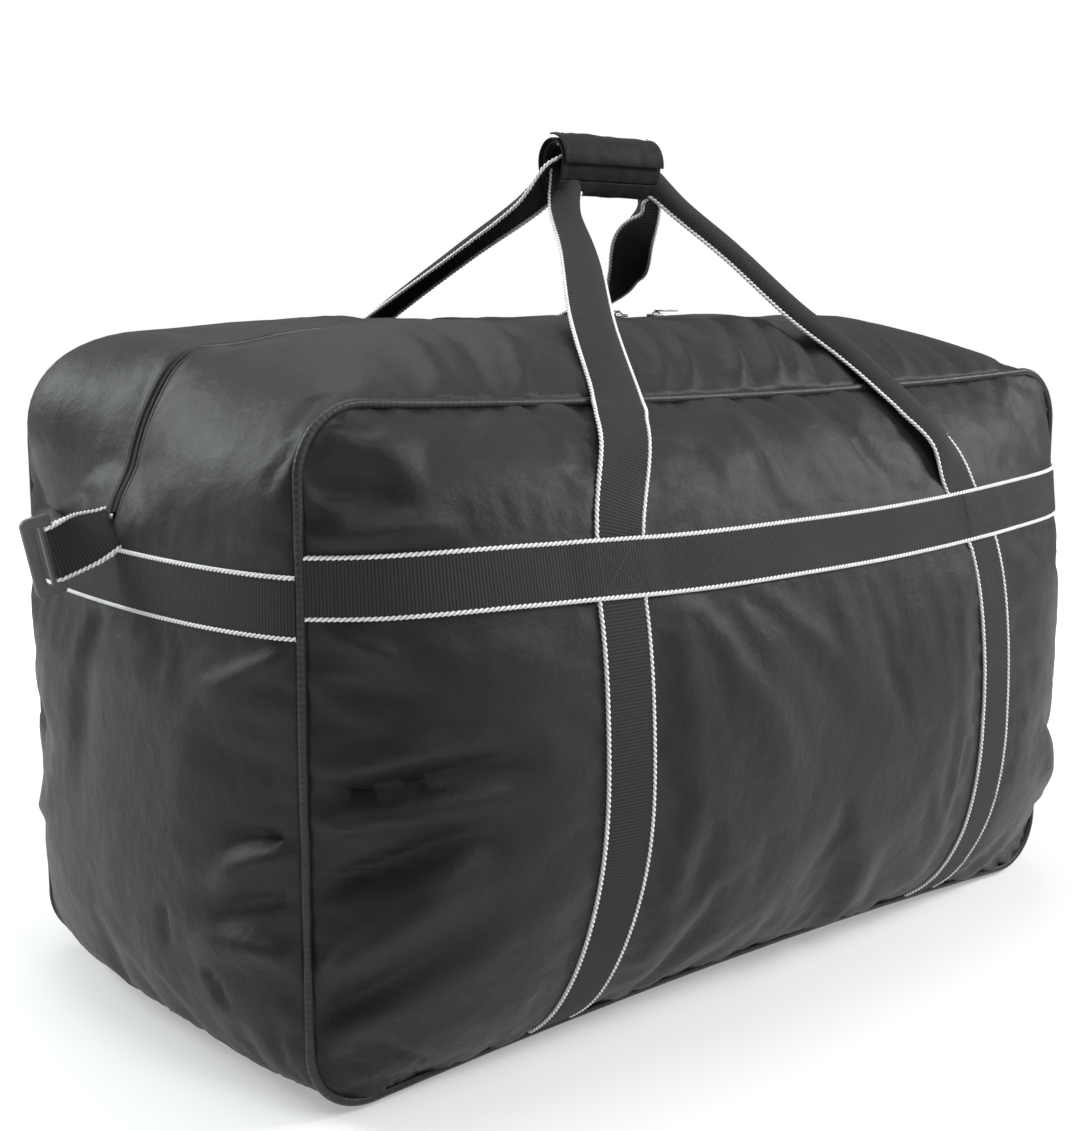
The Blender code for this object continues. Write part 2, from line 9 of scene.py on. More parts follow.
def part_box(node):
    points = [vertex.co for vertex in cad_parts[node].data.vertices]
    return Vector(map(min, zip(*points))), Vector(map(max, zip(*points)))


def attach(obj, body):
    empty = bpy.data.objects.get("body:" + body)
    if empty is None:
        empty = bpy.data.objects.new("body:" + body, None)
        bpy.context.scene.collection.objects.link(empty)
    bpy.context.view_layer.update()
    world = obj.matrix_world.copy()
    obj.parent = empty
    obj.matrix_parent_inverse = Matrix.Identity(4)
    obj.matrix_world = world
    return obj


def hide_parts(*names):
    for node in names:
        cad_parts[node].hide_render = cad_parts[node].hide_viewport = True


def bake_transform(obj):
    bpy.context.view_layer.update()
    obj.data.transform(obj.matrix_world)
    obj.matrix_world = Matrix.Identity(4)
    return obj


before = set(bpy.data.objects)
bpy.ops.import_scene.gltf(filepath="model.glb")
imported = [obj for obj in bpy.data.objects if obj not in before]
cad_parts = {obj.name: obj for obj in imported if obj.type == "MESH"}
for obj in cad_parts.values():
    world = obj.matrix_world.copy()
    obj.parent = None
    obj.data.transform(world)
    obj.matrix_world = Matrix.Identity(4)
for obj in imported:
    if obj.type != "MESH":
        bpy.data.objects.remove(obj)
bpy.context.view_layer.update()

# ---- the CAD model's driving dimensions, from the frame where a node shows them -----------------
PIPING_RADIUS = 0.0038
seam_low, seam_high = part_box("front_piping")
HALF_LENGTH = seam_high.x - PIPING_RADIUS
HALF_DEPTH = -(seam_low.y + seam_high.y) / 2
HEIGHT = seam_high.z - PIPING_RADIUS
HALF_HEIGHT = HEIGHT / 2
CORNER = 0.056
PILLOW, PILLOW_POWER = 0.108, 0.77
END_BULGE, TOP_BULGE = 0.039, 0.050
FLAT_HALF = 0.22          # the top is level this far each way from mid-length
TOP_SAG, BASE_LIFT, SEAM_RISE = 0.012, 0.014, 0.0045
FABRIC = 0.0015
SPLIT_HEIGHT = 0.396      # the top gusset meets the end panels here, under the end straps
WEBBING, WEBBING_THICK = 0.044, 0.0015
STRAP_HEIGHT, END_STRAP_HEIGHT = 0.409, 0.396
RISER_X, RISER_LOW, RISER_BEND, RISER_LEAVE = 0.235, 0.016, 0.43, 0.458
RISER_TOP = (0.168, 0.528)
ZIP_END_HEIGHT = 0.446
TAPE_DROP, TAPE_OUTER = 0.0023, 0.016
FLAT_X, FLAT_Z = HALF_LENGTH - CORNER, HALF_HEIGHT - CORNER
SEWN_EDGE = 0.001         # a panel's edge runs this far inside the seam line
wrap_low, wrap_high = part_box("grip_wrap")
GRIP_CENTRE = (wrap_low + wrap_high) / 2
GRIP_LENGTH = wrap_high.x - wrap_low.x
GRIP_HALF = ((wrap_high.y - wrap_low.y) / 2, (wrap_high.z - wrap_low.z) / 2)

# ---- the fine detail that only the looks have ---------------------------------------------------
CELL = 0.0065             # cloth grid
NORMAL_STEP = 0.002       # half the step over which a surface's slope is taken
FOLD_GAIN = 2.0           # strength of all the folds together
SEAM_HOLD = 0.022         # folds grow from nothing at a seam to full height this far from it
SWELL_HEIGHT, SWELL_LENGTH, SWELL_INSET = 0.0045, 0.19, 0.06    # broad unevenness of the panels
LIP = 0.0050              # from the zipper's centre line to each folded fabric edge
LIP_STITCHES = 0.0048     # from that edge to its row of stitches
RIB, RIB_HEIGHT = 0.0027, 0.00009           # pitch and height of the webbing's cross ribs
WEBBING_COLUMNS = 9       # points across the webbing's width
EDGING_RADIUS, EDGING_TWIST, EDGING_SIDES = 0.00160, 0.0043, 8
SEWN_LIFT, CROSSING_LIFT = 0.0013, 0.0021   # webbing's middle off the cloth; more over a riser
HINT_STEP = 0.02          # step across a sewn strap over which its slant is taken
STITCH, STITCH_GAP, THREAD = 0.0026, 0.0012, 0.00032


# ---- small tools --------------------------------------------------------------------------------

def smooth(t):
    t = np.clip(t, 0.0, 1.0)
    return t * t * (3.0 - 2.0 * t)


def bell(value, centre, width):
    return np.exp(-((value - centre) / width) ** 2)


def unit(v):
    return v / np.maximum(np.linalg.norm(v, axis=-1, keepdims=True), 1e-12)


def noise_at(points, wavelength, seed):
    """Smooth noise, about -1 to 1, at points in metres."""
    places = np.asarray(points, float).reshape(-1, 3) / wavelength + 7.31 * seed
    return np.array([noise.noise(p) for p in places]).reshape(np.shape(points)[:-1])


def run_length(points):
    """Distance along a polyline at each of its points."""
    steps = np.linalg.norm(np.diff(points, axis=0), axis=1)
    return np.concatenate([[0], np.cumsum(steps)])


def spaced(points, step):
    """A polyline again with points about step apart, and the distance along it.

    Columns after the first three are carried along."""
    points = np.asarray(points, float)
    along = run_length(points[:, :3])
    at = np.linspace(0, along[-1], max(2, round(along[-1] / step) + 1))
    return np.stack([np.interp(at, along, points[:, k]) for k in range(points.shape[1])], -1), at


def curve_through(points, count=12):
    """A smooth curve through given points, with rows of any width."""
    points = np.asarray(points, float)
    padded = np.vstack([2 * points[0] - points[1], points, 2 * points[-1] - points[-2]])
    out = []
    for i in range(1, len(padded) - 2):
        a, b, c, d = padded[i - 1:i + 3]
        for t in np.arange(count) / count:
            out.append(0.5 * (2 * b + (c - a) * t + (2 * a - 5 * b + 4 * c - d) * t ** 2
                              + (3 * b - 3 * c + d - a) * t ** 3))
    out.append(padded[-2])
    return np.array(out)


def in_scene(name, data):
    """A new object in the scene."""
    obj = bpy.data.objects.new(name, data)
    bpy.context.scene.collection.objects.link(obj)
    return obj


def new_mesh(name, verts, faces):
    mesh = bpy.data.meshes.new(name)
    mesh.from_pydata(np.asarray(verts, float).reshape(-1, 3).tolist(), [], faces)
    return mesh


def face_outward(mesh, place=None):
    """Turns a closed mesh's faces outward. With a place it is welded and moved there first."""
    bm = bmesh.new()
    bm.from_mesh(mesh)
    if place is not None:
        bmesh.ops.remove_doubles(bm, verts=bm.verts, dist=1e-6)
        bm.transform(place)
    bmesh.ops.recalc_face_normals(bm, faces=bm.faces)
    bm.to_mesh(mesh)
    bm.free()


def add_piece(name, mesh, material, body, smooth_angle):
    """A mesh as a named piece on a body, or on none yet, with its material."""
    mesh.materials.append(material)
    mesh.shade_smooth()
    mesh.set_sharp_from_angle(angle=math.radians(smooth_angle))
    obj = in_scene(name, mesh)
    if body is not None:
        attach(obj, body)
    return obj


def add_mesh(name, verts, faces, material, body, slot, fabric=None, smooth_angle=40.0,
             closed=False):
    """A piece from points and faces. fabric is a vector per point: metres along and across."""
    mesh = new_mesh(name, verts, faces)
    if closed:
        face_outward(mesh)
    if fabric is not None:
        attribute = mesh.attributes.new("fabric", "FLOAT_VECTOR", "POINT")
        attribute.data.foreach_set("vector", np.asarray(fabric, np.float32).ravel())
    return add_piece(name, mesh, material, body, smooth_angle)


def grid_faces(rows, columns, close_rows=False, close_columns=False, flip=False):
    """Quads of a grid of points, with either direction closed into a ring."""
    faces = []
    for i in range(rows if close_rows else rows - 1):
        for j in range(columns if close_columns else columns - 1):
            k, m = (i + 1) % rows, (j + 1) % columns
            quad = (i * columns + j, i * columns + m, k * columns + m, k * columns + j)
            faces.append(quad[::-1] if flip else quad)
    return faces


def thicken(obj, thickness):
    """Gives a sheet its thickness, inward from its outer face."""
    solidify = obj.modifiers.new("thickness", "SOLIDIFY")
    solidify.thickness = thickness
    solidify.offset = -1.0


def round_edges(obj, width, above_angle=30.0):
    bevel = obj.modifiers.new("edges", "BEVEL")
    bevel.width = width
    bevel.segments = 2
    bevel.limit_method = "ANGLE"
    bevel.angle_limit = math.radians(above_angle)


def arc(centre, radii, start, finish, count):
    """Points of a circle or an ellipse in a plane, between two angles in degrees."""
    turns = [math.radians(turn) for turn in np.linspace(start, finish, count)]
    return [(centre[0] + radii[0] * math.cos(t), centre[1] + radii[1] * math.sin(t)) for t in turns]


def tube(points, radius, sides, closed=False, up=(0.0, 0.0, 1.0), profile=None):
    """Vertices and faces of a tube. profile(angle, along) scales the radius."""
    points = np.asarray(points, float)
    count = len(points)
    if closed:
        tangent = unit(np.roll(points, -1, axis=0) - np.roll(points, 1, axis=0))
    else:
        tangent = unit(np.gradient(points, axis=0))
    up = np.broadcast_to(np.asarray(up, float), points.shape)
    side = unit(np.cross(tangent, up))
    lift = np.cross(side, tangent)
    along = run_length(points)
    angles = np.arange(sides) * 2 * math.pi / sides
    reach = np.broadcast_to(np.asarray(radius, float).reshape(-1, 1), (count, sides)).copy()
    if profile is not None:
        reach *= profile(angles[None, :], along[:, None])
    rings = (points[:, None] + reach[..., None] * (np.cos(angles)[None, :, None] * side[:, None]
                                                   + np.sin(angles)[None, :, None] * lift[:, None]))
    faces = grid_faces(count, sides, close_rows=closed, close_columns=True)
    if not closed:
        faces += [tuple(range(sides)), tuple(range(count * sides - 1, (count - 1) * sides - 1, -1))]
    return rings.reshape(-1, 3), faces


def joined(parts):
    """Several (vertices, faces) as one."""
    verts, faces, start = [], [], 0
    for part_verts, part_faces in parts:
        verts.append(np.asarray(part_verts, float).reshape(-1, 3))
        faces += [tuple(start + i for i in face) for face in part_faces]
        start += len(verts[-1])
    return np.vstack(verts), faces


# ---- materials ----------------------------------------------------------------------------------

class Nodes:
    """A material's node tree with short helpers."""

    def __init__(self, name, roughness, sheen=0.0, metallic=0.0, specular=0.5, sheen_roughness=0.4):
        self.material = bpy.data.materials.new(name)
        self.material.use_nodes = True
        self.tree = self.material.node_tree
        self.shader = self.tree.nodes["Principled BSDF"]
        for socket, value in (("Roughness", roughness), ("Sheen Weight", sheen),
                              ("Sheen Roughness", sheen_roughness), ("Metallic", metallic),
                              ("Specular IOR Level", specular)):
            self.shader.inputs[socket].default_value = value

    def add(self, kind, **settings):
        node = self.tree.nodes.new(kind)
        for key, value in settings.items():
            if key.startswith("in_"):
                node.inputs[key[3:].replace("_", " ")].default_value = value
            else:
                setattr(node, key, value)
        return node

    def link(self, source, target):
        self.tree.links.new(source, target)

    def place(self):
        return self.add("ShaderNodeTexCoord").outputs["Object"]

    def fabric_place(self):
        return self.add("ShaderNodeAttribute", attribute_name="fabric").outputs["Vector"]

    def noise(self, place, scale, detail=2.0, rough=0.5):
        node = self.add("ShaderNodeTexNoise", in_Scale=scale, in_Detail=detail, in_Roughness=rough)
        self.link(place, node.inputs["Vector"])
        return node.outputs["Fac"]

    def waves(self, place, direction, pitch, distort=0.0):
        """Ridges across one direction, pitch metres apart."""
        node = self.add("ShaderNodeTexWave", bands_direction=direction, in_Distortion=distort,
                        in_Scale=math.pi / (10.0 * pitch), in_Detail=0.0)
        self.link(place, node.inputs["Vector"])
        return node.outputs["Fac"]

    def math(self, operation, *values):
        """A math node; each value is a number or another node's output."""
        node = self.add("ShaderNodeMath", operation=operation)
        for socket, value in zip(node.inputs, values):
            if isinstance(value, (int, float)):
                socket.default_value = value
            else:
                self.link(value, socket)
        return node.outputs[0]

    def ramp(self, factor, dark, light, low=0.3, high=0.7):
        """Colour from dark to light as factor goes from low to high."""
        node = self.add("ShaderNodeValToRGB")
        first, last = node.color_ramp.elements
        first.position, first.color = low, (*dark, 1.0)
        last.position, last.color = high, (*light, 1.0)
        self.link(factor, node.inputs["Fac"])
        return node.outputs["Color"]

    def mix(self, factor, first, second):
        node = self.add("ShaderNodeMix", data_type="RGBA")
        self.link(factor, node.inputs["Factor"])
        for socket, value in ((node.inputs[6], first), (node.inputs[7], second)):
            if isinstance(value, tuple):
                socket.default_value = (*value, 1.0)
            else:
                self.link(value, socket)
        return node.outputs[2]

    def spread(self, factor, low, high):
        """Factor 0.3-0.7 mapped to low-high."""
        node = self.add("ShaderNodeMapRange", in_From_Min=0.3, in_From_Max=0.7,
                        in_To_Min=low, in_To_Max=high)
        self.link(factor, node.inputs["Value"])
        return node.outputs["Result"]

    def bump(self, layers):
        """Chained bumps: (height output, depth in metres)."""
        normal = None
        for height, depth in layers:
            node = self.add("ShaderNodeBump", in_Strength=1.0, in_Distance=depth)
            self.link(height, node.inputs["Height"])
            if normal is not None:
                self.link(normal, node.inputs["Normal"])
            normal = node.outputs["Normal"]
        self.link(normal, self.shader.inputs["Normal"])

    def finish(self, colour=None, roughness=None):
        if colour is not None:
            self.link(colour, self.shader.inputs["Base Color"])
        if roughness is not None:
            self.link(roughness, self.shader.inputs["Roughness"])
        return self.material


def polyester(name, dark, light, roughness=(0.45, 0.60), specular=0.25):
    """Coated woven polyester: a fine plain weave, slubs, handling marks and a soft sheen."""
    m = Nodes(name, 0.5, sheen=0.05, sheen_roughness=0.5, specular=specular)
    cloth, place = m.fabric_place(), m.place()
    warp, weft = m.waves(cloth, "X", 0.0011), m.waves(cloth, "Y", 0.0011)
    weave = m.math("MULTIPLY", warp, weft)
    cloud = m.noise(place, 9.0, detail=4.0, rough=0.6)
    slub = m.noise(cloth, 260.0, detail=2.0)
    scuff = m.noise(place, 34.0, detail=6.0, rough=0.75)
    base = m.ramp(cloud, dark, light)
    yarn = tuple(min(1.0, 1.30 * c) for c in light)
    colour = m.mix(m.math("MULTIPLY", m.spread(slub, 0.0, 0.42), weave), base, yarn)
    m.bump([(m.noise(place, 55.0, detail=3.0), 0.0015), (slub, 0.00022), (weave, 0.00010)])
    return m.finish(colour, m.spread(m.math("ADD", m.math("MULTIPLY", scuff, 0.6),
                                            m.math("MULTIPLY", cloud, 0.4)), *roughness))


def piping_cloth():
    """Woven cover pulled tight over a cord, with fine gathers along it."""
    m = Nodes("piping_cloth", 0.45, sheen=0.03, specular=0.42)
    cloth, place = m.fabric_place(), m.place()
    gather = m.waves(cloth, "X", 0.0052, distort=2.5)
    weave = m.math("MULTIPLY", m.waves(cloth, "X", 0.0010), m.waves(cloth, "Y", 0.0010))
    colour = m.ramp(m.noise(place, 40.0, detail=3.0), (0.006, 0.006, 0.0065), (0.013, 0.013, 0.014))
    m.bump([(gather, 0.00022), (weave, 0.00008)])
    return m.finish(colour, m.spread(m.noise(place, 60.0), 0.38, 0.52))


def webbing_weave(name, dark, light, rib_depth=0.00022):
    """Ribbed webbing: cross ribs, with the yarns of each rib slanting across them. Each rib's crest
    is painted lighter: a painted highlight along the ribs, broken up by the yarns.
    """
    m = Nodes(name, 0.7, sheen=0.04, specular=0.22)
    cloth, place = m.fabric_place(), m.place()
    ribs = m.waves(cloth, "X", RIB)
    yarns = m.waves(cloth, "Y", 0.0013, distort=1.2)
    fibre = m.noise(cloth, 900.0, detail=2.0)
    wear = m.noise(place, 24.0, detail=4.0, rough=0.65)
    base = m.ramp(wear, dark, light)
    strands = m.math("ADD", m.math("MULTIPLY", yarns, 0.4), m.math("MULTIPLY", fibre, 0.6))
    # painted highlight: each rib's crest is painted lighter, broken up by the yarns and fibres
    painted_crest_highlight = m.math("MULTIPLY", m.math("POWER", ribs, 0.6), strands)
    colour = m.mix(painted_crest_highlight, base, tuple(3.8 * c for c in light))
    m.bump([(ribs, rib_depth), (yarns, 0.00012), (fibre, 0.00006)])
    return m.finish(colour, m.spread(wear, 0.62, 0.8))


def edging_yarn():
    """White two-strand edge yarn, with painted shade in the grooves between its strands."""
    m = Nodes("edging_yarn", 0.75, sheen=0.2, specular=0.3)
    cloth, place = m.fabric_place(), m.place()
    split = m.add("ShaderNodeSeparateXYZ")
    m.link(cloth, split.inputs[0])
    phase = m.math("MULTIPLY", split.outputs["X"], 2.0 * math.pi / EDGING_TWIST)
    strands = m.math("ADD", m.math("MULTIPLY", m.math("COSINE", phase), split.outputs["Y"]),
                     m.math("MULTIPLY", m.math("SINE", phase), split.outputs["Z"]))
    # painted shade: the grooves between the two strands are painted dark
    painted_groove_shade = m.add("ShaderNodeMapRange", interpolation_type="SMOOTHSTEP",
                   in_From_Min=-0.25, in_From_Max=-1.0)
    m.link(strands, painted_groove_shade.inputs["Value"])
    soil = m.noise(place, 45.0, detail=4.0, rough=0.7)
    fibre = m.noise(place, 1800.0, detail=2.0)
    clean = m.ramp(m.math("MULTIPLY_ADD", fibre, 0.5, m.math("MULTIPLY", soil, 0.5)),
                   (0.62, 0.62, 0.61), (0.95, 0.95, 0.94))
    colour = m.mix(painted_groove_shade.outputs["Result"], clean, (0.14, 0.14, 0.14))
    m.bump([(strands, 0.0004), (fibre, 0.00015)])
    return m.finish(colour, m.spread(soil, 0.65, 0.85))


def thread_yarn(name, shade):
    m = Nodes(name, 0.6, sheen=0.1, specular=0.4)
    place = m.place()
    grain = m.noise(place, 2400.0, detail=1.0)
    colour = m.ramp(grain, tuple(0.7 * c for c in shade), tuple(1.3 * c for c in shade))
    m.bump([(grain, 0.00008)])
    return m.finish(colour, m.spread(grain, 0.5, 0.7))


def moulded_plastic(name, dark, light, roughness=(0.42, 0.58)):
    """Injection-moulded plastic with a fine spark texture and handling wear."""
    m = Nodes(name, 0.5, specular=0.45)
    place = m.place()
    spark = m.noise(place, 1500.0, detail=2.0)
    flow = m.noise(place, 38.0, detail=4.0, rough=0.65)
    m.bump([(spark, 0.00006), (flow, 0.0002)])
    return m.finish(m.ramp(flow, dark, light), m.spread(flow, *roughness))


def cast_metal():
    """Black-plated zinc, brighter where the plating has rubbed."""
    m = Nodes("cast_metal", 0.35, metallic=1.0)
    place = m.place()
    rub = m.noise(place, 210.0, detail=5.0, rough=0.7)
    m.bump([(m.noise(place, 900.0, detail=2.0), 0.00005)])
    return m.finish(m.ramp(rub, (0.10, 0.10, 0.105), (0.42, 0.42, 0.43), 0.35, 0.75),
                    m.spread(rub, 0.45, 0.26))


def hook_loop():
    """Hook and loop tape: a dense short pile."""
    m = Nodes("hook_loop", 0.9, sheen=0.3, specular=0.2)
    place = m.place()
    cells = m.add("ShaderNodeTexVoronoi", in_Scale=1100.0)
    m.link(place, cells.inputs["Vector"])
    pile = cells.outputs["Distance"]
    m.bump([(pile, 0.0005)])
    return m.finish(m.ramp(pile, (0.006, 0.006, 0.006), (0.03, 0.03, 0.031), 0.1, 0.6),
                    m.spread(m.noise(place, 300.0), 0.85, 0.98))


def glowing_floor_paint():
    """Pale paint with a painted glow: the floor emits light, weakly near the bag and more with
    distance from it, until it meets the surround.
    """
    m = Nodes("studio_floor", 0.8, specular=0.2)
    place = m.place()
    tone = m.noise(place, 0.7, detail=2.0)
    distance = m.add("ShaderNodeVectorMath", operation="LENGTH")
    m.link(place, distance.inputs[0])
    fade = m.add("ShaderNodeMapRange", interpolation_type="SMOOTHSTEP",
                 in_From_Min=FLOOR_FADE[0], in_From_Max=FLOOR_FADE[1])
    m.link(distance.outputs["Value"], fade.inputs["Value"])
    # painted light: the floor glows, more with distance from the bag
    m.link(m.math("MULTIPLY_ADD", fade.outputs["Result"], 0.64, 0.36),
           m.shader.inputs["Emission Strength"])
    m.shader.inputs["Emission Color"].default_value = (1.0, 1.0, 1.0, 1.0)
    return m.finish(m.ramp(tone, (0.58, 0.58, 0.58), (0.61, 0.61, 0.61)))


SHELL_CLOTH = polyester("polyester_black", (0.0070, 0.0067, 0.0072), (0.0125, 0.0120, 0.0129))
GRIP_CLOTH = polyester("polyester_grip", (0.0022, 0.0021, 0.0024), (0.0075, 0.0073, 0.0078),
                       roughness=(0.55, 0.75), specular=0.16)
PIPING_CLOTH = piping_cloth()
WEB = webbing_weave("webbing_black", (0.0050, 0.0049, 0.0048), (0.0120, 0.0117, 0.0114))
EDGING = edging_yarn()
THREAD_DARK = thread_yarn("thread_dark", (0.03, 0.03, 0.031))
THREAD_LIGHT = thread_yarn("thread_grey", (0.045, 0.045, 0.045))
FOAM = thread_yarn("foam_lining", (0.016, 0.016, 0.016))
BINDING_TAPE = thread_yarn("binding_tape", (0.018, 0.018, 0.018))
TAPE_CLOTH = webbing_weave("seam_tape_weave", (0.008, 0.008, 0.008), (0.014, 0.014, 0.014), 0.0001)
COIL_NYLON = moulded_plastic("coil_nylon", (0.045, 0.045, 0.047), (0.085, 0.085, 0.09), (0.3, 0.42))
RING_PLASTIC = moulded_plastic("ring_grey", (0.060, 0.060, 0.059), (0.088, 0.088, 0.086))
METAL = cast_metal()
HOOK_LOOP = hook_loop()


# ---- the sewn shell's surfaces ------------------------------------------------------------------

def seam_shift(x, z):
    """Dip of the top seams and rise of the bottom seams at mid-length."""
    middle = 1.0 - np.minimum(np.abs(x) / HALF_LENGTH, 1.0) ** 2
    share = np.clip(z / HEIGHT, 0.0, 1.0)
    return -TOP_SAG * middle * share ** 8, (SEAM_RISE + BASE_LIFT * middle) * (1.0 - share) ** 2


def outline_share(x, z):
    """0 at the middle of the rounded seam outline, 1 on it."""
    across, up = np.abs(x), np.abs(z - HALF_HEIGHT)
    share = np.maximum(np.maximum(across / HALF_LENGTH, up / HALF_HEIGHT), 1e-9)
    square = (across / share <= FLAT_X) | (up / share <= FLAT_Z)
    a = across ** 2 + up ** 2
    b = -2.0 * (across * FLAT_X + up * FLAT_Z)
    c = FLAT_X ** 2 + FLAT_Z ** 2 - CORNER ** 2
    rounded = 2.0 * a / (-b + np.sqrt(np.maximum(b * b - 4.0 * a * c, 0.0)))
    return np.where(square, share, rounded)


def pillow(x, z):
    """How far a stuffed panel stands out from its seam's plane."""
    u = np.minimum(np.abs(x) / HALF_LENGTH, 1.0)
    v = np.minimum(np.abs(z - HALF_HEIGHT) / HALF_HEIGHT, 1.0)
    rim = np.sqrt(np.maximum(1.0 - outline_share(x, z) ** 24, 0.0))
    return PILLOW * ((1.0 - u ** 4) * (1.0 - v ** 2.5)) ** PILLOW_POWER * rim


CORNER_RUN = CORNER * math.pi / 2


def outline_at(distance):
    """The seam outline: x, z and outward normal x, z, anticlockwise from the bottom's middle."""
    up_side = [CORNER_RUN, 2 * FLAT_Z, CORNER_RUN]
    knots = np.cumsum([0, FLAT_X, *up_side, 2 * FLAT_X, *up_side, FLAT_X])
    d = np.mod(distance, knots[-1])
    turn = np.radians(np.interp(d, knots, [-90, -90, 0, 0, 90, 90, 180, 180, 270, 270]))
    x = np.interp(d, knots, np.array([0, 1, 1, 1, 1, -1, -1, -1, -1, 0]) * FLAT_X)
    z = np.interp(d, knots, np.array([-1, -1, -1, 1, 1, 1, 1, -1, -1, -1]) * FLAT_Z)
    nx, nz = np.cos(turn), np.sin(turn)
    return x + CORNER * nx, z + CORNER * nz + HALF_HEIGHT, nx, nz


# Distances round the outline at which its straight stretches start or stop.
RIGHT_LOW = FLAT_X + CORNER_RUN
TOP_RIGHT = RIGHT_LOW + 2 * FLAT_Z + CORNER_RUN
LEFT_HIGH = TOP_RIGHT + 2 * FLAT_X + CORNER_RUN
PERIMETER = LEFT_HIGH + 2 * FLAT_Z + CORNER_RUN + FLAT_X


def on_right(z):
    """Distance round the outline at a height on its right side."""
    return RIGHT_LOW + z - (HALF_HEIGHT - FLAT_Z)


def on_top(x):
    return TOP_RIGHT + FLAT_X - x


def on_left(z):
    return LEFT_HIGH + HALF_HEIGHT + FLAT_Z - z


def fold(u, v, start, finish, width, height, bend=0.0, anchored=True):
    """A soft ridge (or valley, with height below 0) along a bowed line from start to finish.

    Its far side is steeper, it fades towards finish, and towards start too unless anchored."""
    run = np.array(finish) - start
    length = math.hypot(*run)
    along = ((u - start[0]) * run[0] + (v - start[1]) * run[1]) / length ** 2
    across = ((v - start[1]) * run[0] - (u - start[0]) * run[1]) / length
    across = across - bend * 4.0 * along * (1.0 - along)
    spread = width * np.where(across > 0, 0.8, 1.25) * (0.55 + 0.6 * np.clip(along, 0, 1))
    rise = smooth((along + (0.3 if anchored else 0.12)) / 0.35)
    fade = smooth((1.12 - along) / 0.55)
    return height * np.exp(-(across / spread) ** 2) * rise * fade


# Folds on the front panel, as (x, z) ends, width and height, in metres: they fan out from
# the lower left corner, where the load pulls the cloth, and hang under the waist strap.
FRONT_FOLDS = (
    ((-0.462, 0.183), (-0.345, 0.232), 0.014, -0.0075, 0.004),
    ((-0.460, 0.118), (-0.352, 0.222), 0.019, 0.0085, 0.000),
    ((-0.462, 0.270), (-0.370, 0.302), 0.010, 0.0042, 0.003),
    ((-0.450, 0.256), (-0.318, 0.279), 0.012, -0.0065, 0.004),
    ((-0.445, 0.238), (-0.325, 0.260), 0.013, 0.0050, 0.002),
    ((-0.458, 0.060), (-0.270, 0.172), 0.022, 0.0045, 0.010),
    ((-0.452, 0.085), (-0.330, 0.160), 0.014, -0.0040, 0.006),
    ((-0.452, 0.382), (-0.405, 0.356), 0.009, 0.0040, 0.000),
    ((-0.446, 0.340), (-0.395, 0.330), 0.012, -0.0040, 0.000),
    ((-0.455, 0.484), (-0.385, 0.476), 0.013, -0.0050, 0.000),
    ((-0.440, 0.520), (-0.375, 0.505), 0.014, 0.0035, 0.000),
    ((-0.452, 0.448), (-0.360, 0.452), 0.016, 0.0040, 0.000),
    ((-0.162, 0.372), (-0.045, 0.190), 0.022, 0.0028, 0.010),
    ((-0.098, 0.372), (0.020, 0.235), 0.018, -0.0022, 0.008),
    ((0.012, 0.535), (0.030, 0.440), 0.013, 0.0022, 0.000),
    ((-0.052, 0.535), (-0.028, 0.440), 0.014, 0.0022, 0.000),
    ((0.075, 0.535), (0.100, 0.455), 0.012, -0.0022, 0.000),
    ((0.455, 0.075), (0.345, 0.180), 0.020, 0.0050, 0.000),
    ((0.458, 0.130), (0.350, 0.215), 0.014, -0.0040, 0.004),
    ((0.100, 0.018), (0.060, 0.120), 0.024, 0.0030, 0.000),
    ((-0.150, 0.018), (-0.120, 0.110), 0.020, -0.0026, 0.000),
)
BACK_FOLDS = (
    ((0.460, 0.130), (0.330, 0.215), 0.018, 0.0065, 0.000),
    ((0.462, 0.180), (0.340, 0.240), 0.013, -0.0055, 0.004),
    ((-0.460, 0.095), (-0.330, 0.205), 0.019, 0.0065, 0.006),
    ((-0.460, 0.150), (-0.340, 0.232), 0.013, -0.0055, 0.004),
    ((0.455, 0.450), (0.360, 0.462), 0.015, 0.0040, 0.000),
    ((-0.450, 0.490), (-0.370, 0.478), 0.013, -0.0045, 0.000),
    ((0.030, 0.372), (-0.075, 0.200), 0.022, 0.0030, 0.008),
    ((0.100, 0.372), (0.010, 0.240), 0.018, -0.0024, 0.006),
    ((-0.030, 0.535), (-0.052, 0.440), 0.014, 0.0022, 0.000),
    ((0.080, 0.018), (0.110, 0.120), 0.024, 0.0030, 0.000),
)
